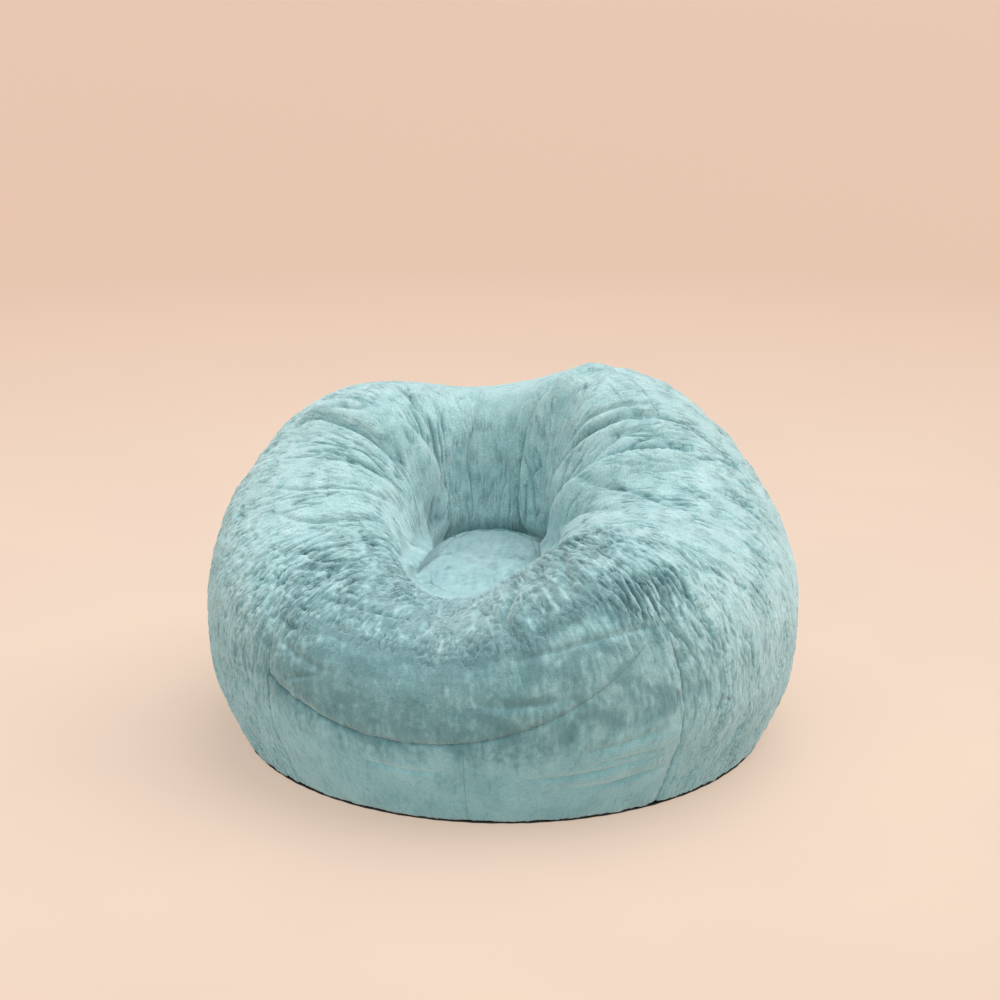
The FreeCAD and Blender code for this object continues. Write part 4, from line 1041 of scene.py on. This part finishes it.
for node in ("cover_zip_stop_closed", "cover_zip_stop_open", "cover_zip_slider",
             "cover_zip_pull", "liner_zip_slider", "liner_zip_stops"):
    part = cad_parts[node]
    part.data.materials.clear()
    part.data.materials.append(ZINC)

# ---------------------------------------------------------------- the liner
# An inner bag of plain white polyester that holds the beads. Its underside is two half
# discs on a long coil zip, and its top takes the same folds as the cover that presses it.

LINER_CLOTH, tree, where = new_material("plain_woven_polyester")
# a close plain weave, drawn 2 mm apart, and painted shade of soft creases a hand apart
liner_weave = grain(tree, where, 0.002)
liner_crease_shade = grain(tree, where, 0.08, Detail=4.0)
liner_tint = ramp(tree, (liner_crease_shade, "Fac"), [(0.35, "d6d6d2"), (0.65, "e6e6e3")])
liner_bump = roughen(tree, (liner_weave, "Fac"), 0.4, 0.0004)
coat(tree, {
    "Base Color": (liner_tint, "Color"), "Roughness": 0.7, "Specular IOR Level": 0.35,
    "Sheen Weight": 0.15, "Normal": (liner_bump, "Normal")})

BEADS, tree, where = new_material("expanded_polystyrene_beads")
# loose beads 4 mm across
bead = add_node(tree, "TexVoronoi", inputs={"Vector": (where, "Object"), "Scale": 1 / 0.004})
# painted shade: each bead's colour darkens from its middle towards the gaps between beads
bead_gap_shade = ramp(tree, (bead, "Distance"), [(0.0, "f2f2ef"), (0.9, "c9c9c4")])
bead_bump = roughen(tree, (bead, "Distance"), 1.0, 0.0015, invert=True)
coat(tree, {
    "Base Color": (bead_gap_shade, "Color"), "Roughness": 0.55, "Subsurface Weight": 0.1,
    "Normal": (bead_bump, "Normal")})

LAYER_GAP = 0.0008
LINER_THICK = 0.001
LINER_OUTSIDE = COVER_THICK + LAYER_GAP
LINER_INSIDE = LINER_OUTSIDE + LINER_THICK
FILL_OUTSIDE = LINER_INSIDE + LAYER_GAP
LINER_FLOOR = BASE_THICK + 0.0004
BOTTOM_CORNER = 0.048
ROLL_HANDLE = 0.6
BEAD_BUMP = 0.005
turns_deg = np.arange(0, 360, 1.5)


def buried(depth, lumps=0.0):
    """Rings of points at this depth under the folded bag, from its floor to the seat.

    lumps is the height in metres of the bumps that beads push up.
    """
    places = np.concatenate([np.linspace(SKIRT_TOP, SEAT_CREASE, 132), [833.0, 866.0, 900.0]])
    bearing, place = np.broadcast_arrays(turns_deg[None], places[:, None])
    points, out = skin(bearing, place), outward(bearing, place)
    wall = settle(points, out, under=True)[0] - out * depth
    angle = np.radians(turns_deg)
    top = skin(turns_deg, SKIRT_TOP) - outward(turns_deg, SKIRT_TOP) * depth
    top_radius = top[:, 0] * np.sin(angle) - top[:, 1] * np.cos(angle)
    floor_at = LINER_FLOOR + depth - LINER_OUTSIDE
    flat = BASE_RADIUS - BOTTOM_CORNER
    share = np.linspace(0, 1, 12)[:-1, None]
    rise = ROLL_HANDLE * (top[:, 2] - floor_at)
    radius = bezier(flat, flat + ROLL_HANDLE * (top_radius - flat), top_radius - SKIRT_SLOPE * rise,
                    top_radius, share)
    height = bezier(floor_at, floor_at, top[:, 2] - rise, top[:, 2], share)
    corner = np.stack([radius * np.sin(angle), -radius * np.cos(angle), height], -1)
    rings = np.concatenate([corner, wall])
    if lumps:
        across, along, up = (rings[..., axis] / BEAD_BUMP for axis in range(3))
        pushed = bumps(across + 60, along + 60 + 3 * up, 91)
        rings[12:-1] -= out[1:-1] * (lumps * (1 + pushed[12:-1]) / 2)[..., None]
    return rings


outer_rings, inner_rings = buried(LINER_OUTSIDE), buried(LINER_INSIDE)
liner = lathe("liner", list(inner_rings[::-1]) + list(outer_rings), LINER_CLOTH)
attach(liner, "bag")
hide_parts("liner_upper")

# The beads fill the liner to its skin, and stand off its zip along a groove.
GROOVE_LONG, GROOVE_WIDE, GROOVE_TOP = 0.2842, 0.018, 0.01095
fill_rings = buried(FILL_OUTSIDE, 0.0006)
floor_at = LINER_FLOOR + FILL_OUTSIDE - LINER_OUTSIDE
under_rings = []
for radius in np.linspace(0.004, BASE_RADIUS - BOTTOM_CORNER - 0.004, 46):
    x, y = radius * np.sin(np.radians(turns_deg)), -radius * np.cos(np.radians(turns_deg))
    in_groove = ((1 - smooth_step(np.abs(x), GROOVE_LONG + 0.002, GROOVE_LONG + 0.012))
                 * (1 - smooth_step(np.abs(y), GROOVE_WIDE + 0.002, GROOVE_WIDE + 0.010)))
    pushed = 0.0003 * (1 + bumps(x / BEAD_BUMP + 90, y / BEAD_BUMP + 90, 92))
    under_rings.append(np.stack([x, y, floor_at + pushed + (GROOVE_TOP - floor_at) * in_groove], -1))
fill = lathe("beads", under_rings + list(fill_rings), BEADS)
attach(fill, "bag")
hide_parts("bean_fill")

# The underside is two half discs with a slot between them, closed by a straight coil zip.
DISC_RADIUS = BASE_RADIUS - BOTTOM_CORNER - 0.0004
SLOT_HALF_LONG, SLOT_HALF_WIDE, SEAM_HALF = 0.280, 0.011, 0.0002
ZIP_LEVEL = LINER_FLOOR + 0.00175


def half_disc(name, side):
    """One half of the liner's underside; side is -1 at the front and 1 at the back."""
    columns = 25
    # closer together at the disc's narrow ends and on both sides of each end of the slot
    stops = np.concatenate([-np.cos(np.linspace(0.03, 0.75, 16)) * DISC_RADIUS,
                            [-SLOT_HALF_LONG - 0.0001, -SLOT_HALF_LONG + 0.0001]])
    stops = np.concatenate([stops, np.linspace(-0.27, 0, 37)])
    stops = np.concatenate([stops, -stops[-2::-1]])
    rings = []
    for x in stops:
        near = SLOT_HALF_WIDE if abs(x) < SLOT_HALF_LONG else SEAM_HALF
        far = max(math.sqrt(DISC_RADIUS ** 2 - x * x), near + 0.0005)
        across = np.linspace(near, far, columns)
        across = across if side > 0 else -across[::-1]
        low = np.stack([np.full(columns, x), across, np.full(columns, LINER_FLOOR)], -1)
        puff = 0.00012 * bumps(np.full(columns, x) / 0.03 + 50, across / 0.03 + 50, 93)
        high = low[::-1] + [0, 0, LINER_THICK]
        high[:, 2] += puff[::-1]
        rings.append(np.vstack([low, high]))
    return lathe(name, rings, LINER_CLOTH)


def liner_zip_point(share, up, depth):
    """Points on the liner's zip: share along it, way across it and height over its tapes' foot."""
    return np.stack([SLOT_HALF_LONG * (1 - 2 * share), up + 0 * share,
                     ZIP_LEVEL + depth + 0 * share], -1)


for side, sign in (("front", -1), ("rear", 1)):
    piece = half_disc("liner_base_" + side, sign)
    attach(piece, "bag")
    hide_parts("liner_base_" + side)
    low, high = sorted((sign * TAPE_SPLIT / 2, sign * 0.017))
    piece = tape("liner_tape_" + side, liner_zip_point, 2 * SLOT_HALF_LONG, low, high, 0.0)
    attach(piece, "bag")
    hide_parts("liner_zip_tape_" + side)
    piece = coil("liner_coil_" + side, liner_zip_point, 2 * SLOT_HALF_LONG,
                 sign * COIL_SPACING / 2, TAPE_THICK + 0.00005 + COIL_ACROSS / 2)
    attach(piece, "bag")
    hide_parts("liner_zip_coil_" + side)

# ---------------------------------------------------------------- light, floor and camera
# A sheet of warm paper for the floor, which glows with its own colour as painted light, one wide soft
# lamp overhead and a softer one in front.

GLOWING_PAPER, tree, where = new_material("glowing_warm_paper")
fleck = grain(tree, where, 0.5)
# painted light: the paper is paler within a stride of the bag and deeper beyond the room, as if the
# lamps reached less far out
out_from_bag = add_node(tree, "VectorMath", {"operation": "LENGTH"}, {0: (where, "Object")})
far_share = add_node(tree, "MapRange", inputs={"Value": (out_from_bag, "Value"), "From Min": 0.8,
                                               "From Max": 4.5})
near_tint = ramp(tree, (fleck, "Fac"), [(0.3, "897a6f"), (0.7, "8b7c70")])
paper_tint = blend(tree, (near_tint, "Color"), from_hex("816d60"), (far_share, "Result"), "MIX")
# painted light: the paper glows with its own colour at strength 2, which lightens the shadow round
# the bag and throws warm light back onto it
coat(tree, {
    "Base Color": (paper_tint, "Color"), "Roughness": 0.9, "Specular IOR Level": 0.1,
    "Emission Color": (paper_tint, "Color"), "Emission Strength": 2.0})
mesh = bpy.data.meshes.new("floor")
mesh.from_pydata([(-150, -150, 0), (150, -150, 0), (150, 150, 0), (-150, 150, 0)], [], [(0, 1, 2, 3)])
mesh.materials.append(GLOWING_PAPER)
floor = set_down("floor", mesh)

world = bpy.data.worlds.new("studio")
bpy.context.scene.world = world
world.use_nodes = True
tree = world.node_tree
tree.nodes.clear()
# a tent, pale overhead and dim and warm round its foot
direction = add_node(tree, "TexCoord")
split = add_node(tree, "SeparateXYZ", inputs={"Vector": (direction, "Generated")})
shade = ramp(tree, (split, "Z"), [(0.0, "e7c7b1"), (0.13, "e7c9b5"), (0.30, "bdb7b2"),
                                  (0.5, "ccced0"), (1.0, "e4e7e9")])
tent = add_node(tree, "Background", inputs={"Color": (shade, "Color"), "Strength": 1.0})
add_node(tree, "OutputWorld", inputs={"Surface": (tent, "Background")})

# each lamp's strength, width in degrees, colour, and how it is turned in degrees
for name, strength, width, colour, turned in (
        ("sky_lamp", 3.0, 70, (1.0, 0.985, 0.96), (-16, 22, 0)),
        ("front_lamp", 0.9, 80, (0.72, 0.98, 1.0), (76, 0, -12))):
    lamp = bpy.data.lights.new(name, "SUN")
    lamp.energy, lamp.angle, lamp.color = strength, math.radians(width), colour
    set_down(name, lamp).rotation_euler = [math.radians(angle) for angle in turned]

bpy.context.scene.view_settings.view_transform = "Standard"
CAMERA_TURN = math.radians(7.0)
CAMERA_AWAY, CAMERA_HEIGHT, CAMERA_DIP = 3.0, 1.248, math.radians(16.35)
SIDEWAYS = -0.0055
camera_data = bpy.data.cameras.new("camera")
camera_data.lens, camera_data.sensor_width = 69.3, 36.0
camera = set_down("camera", camera_data)
camera.location = (CAMERA_AWAY * math.sin(CAMERA_TURN) + SIDEWAYS * math.cos(CAMERA_TURN),
                   -CAMERA_AWAY * math.cos(CAMERA_TURN) + SIDEWAYS * math.sin(CAMERA_TURN),
                   CAMERA_HEIGHT)
camera.rotation_euler = (math.pi / 2 - CAMERA_DIP, 0, CAMERA_TURN)
bpy.context.scene.camera = camera
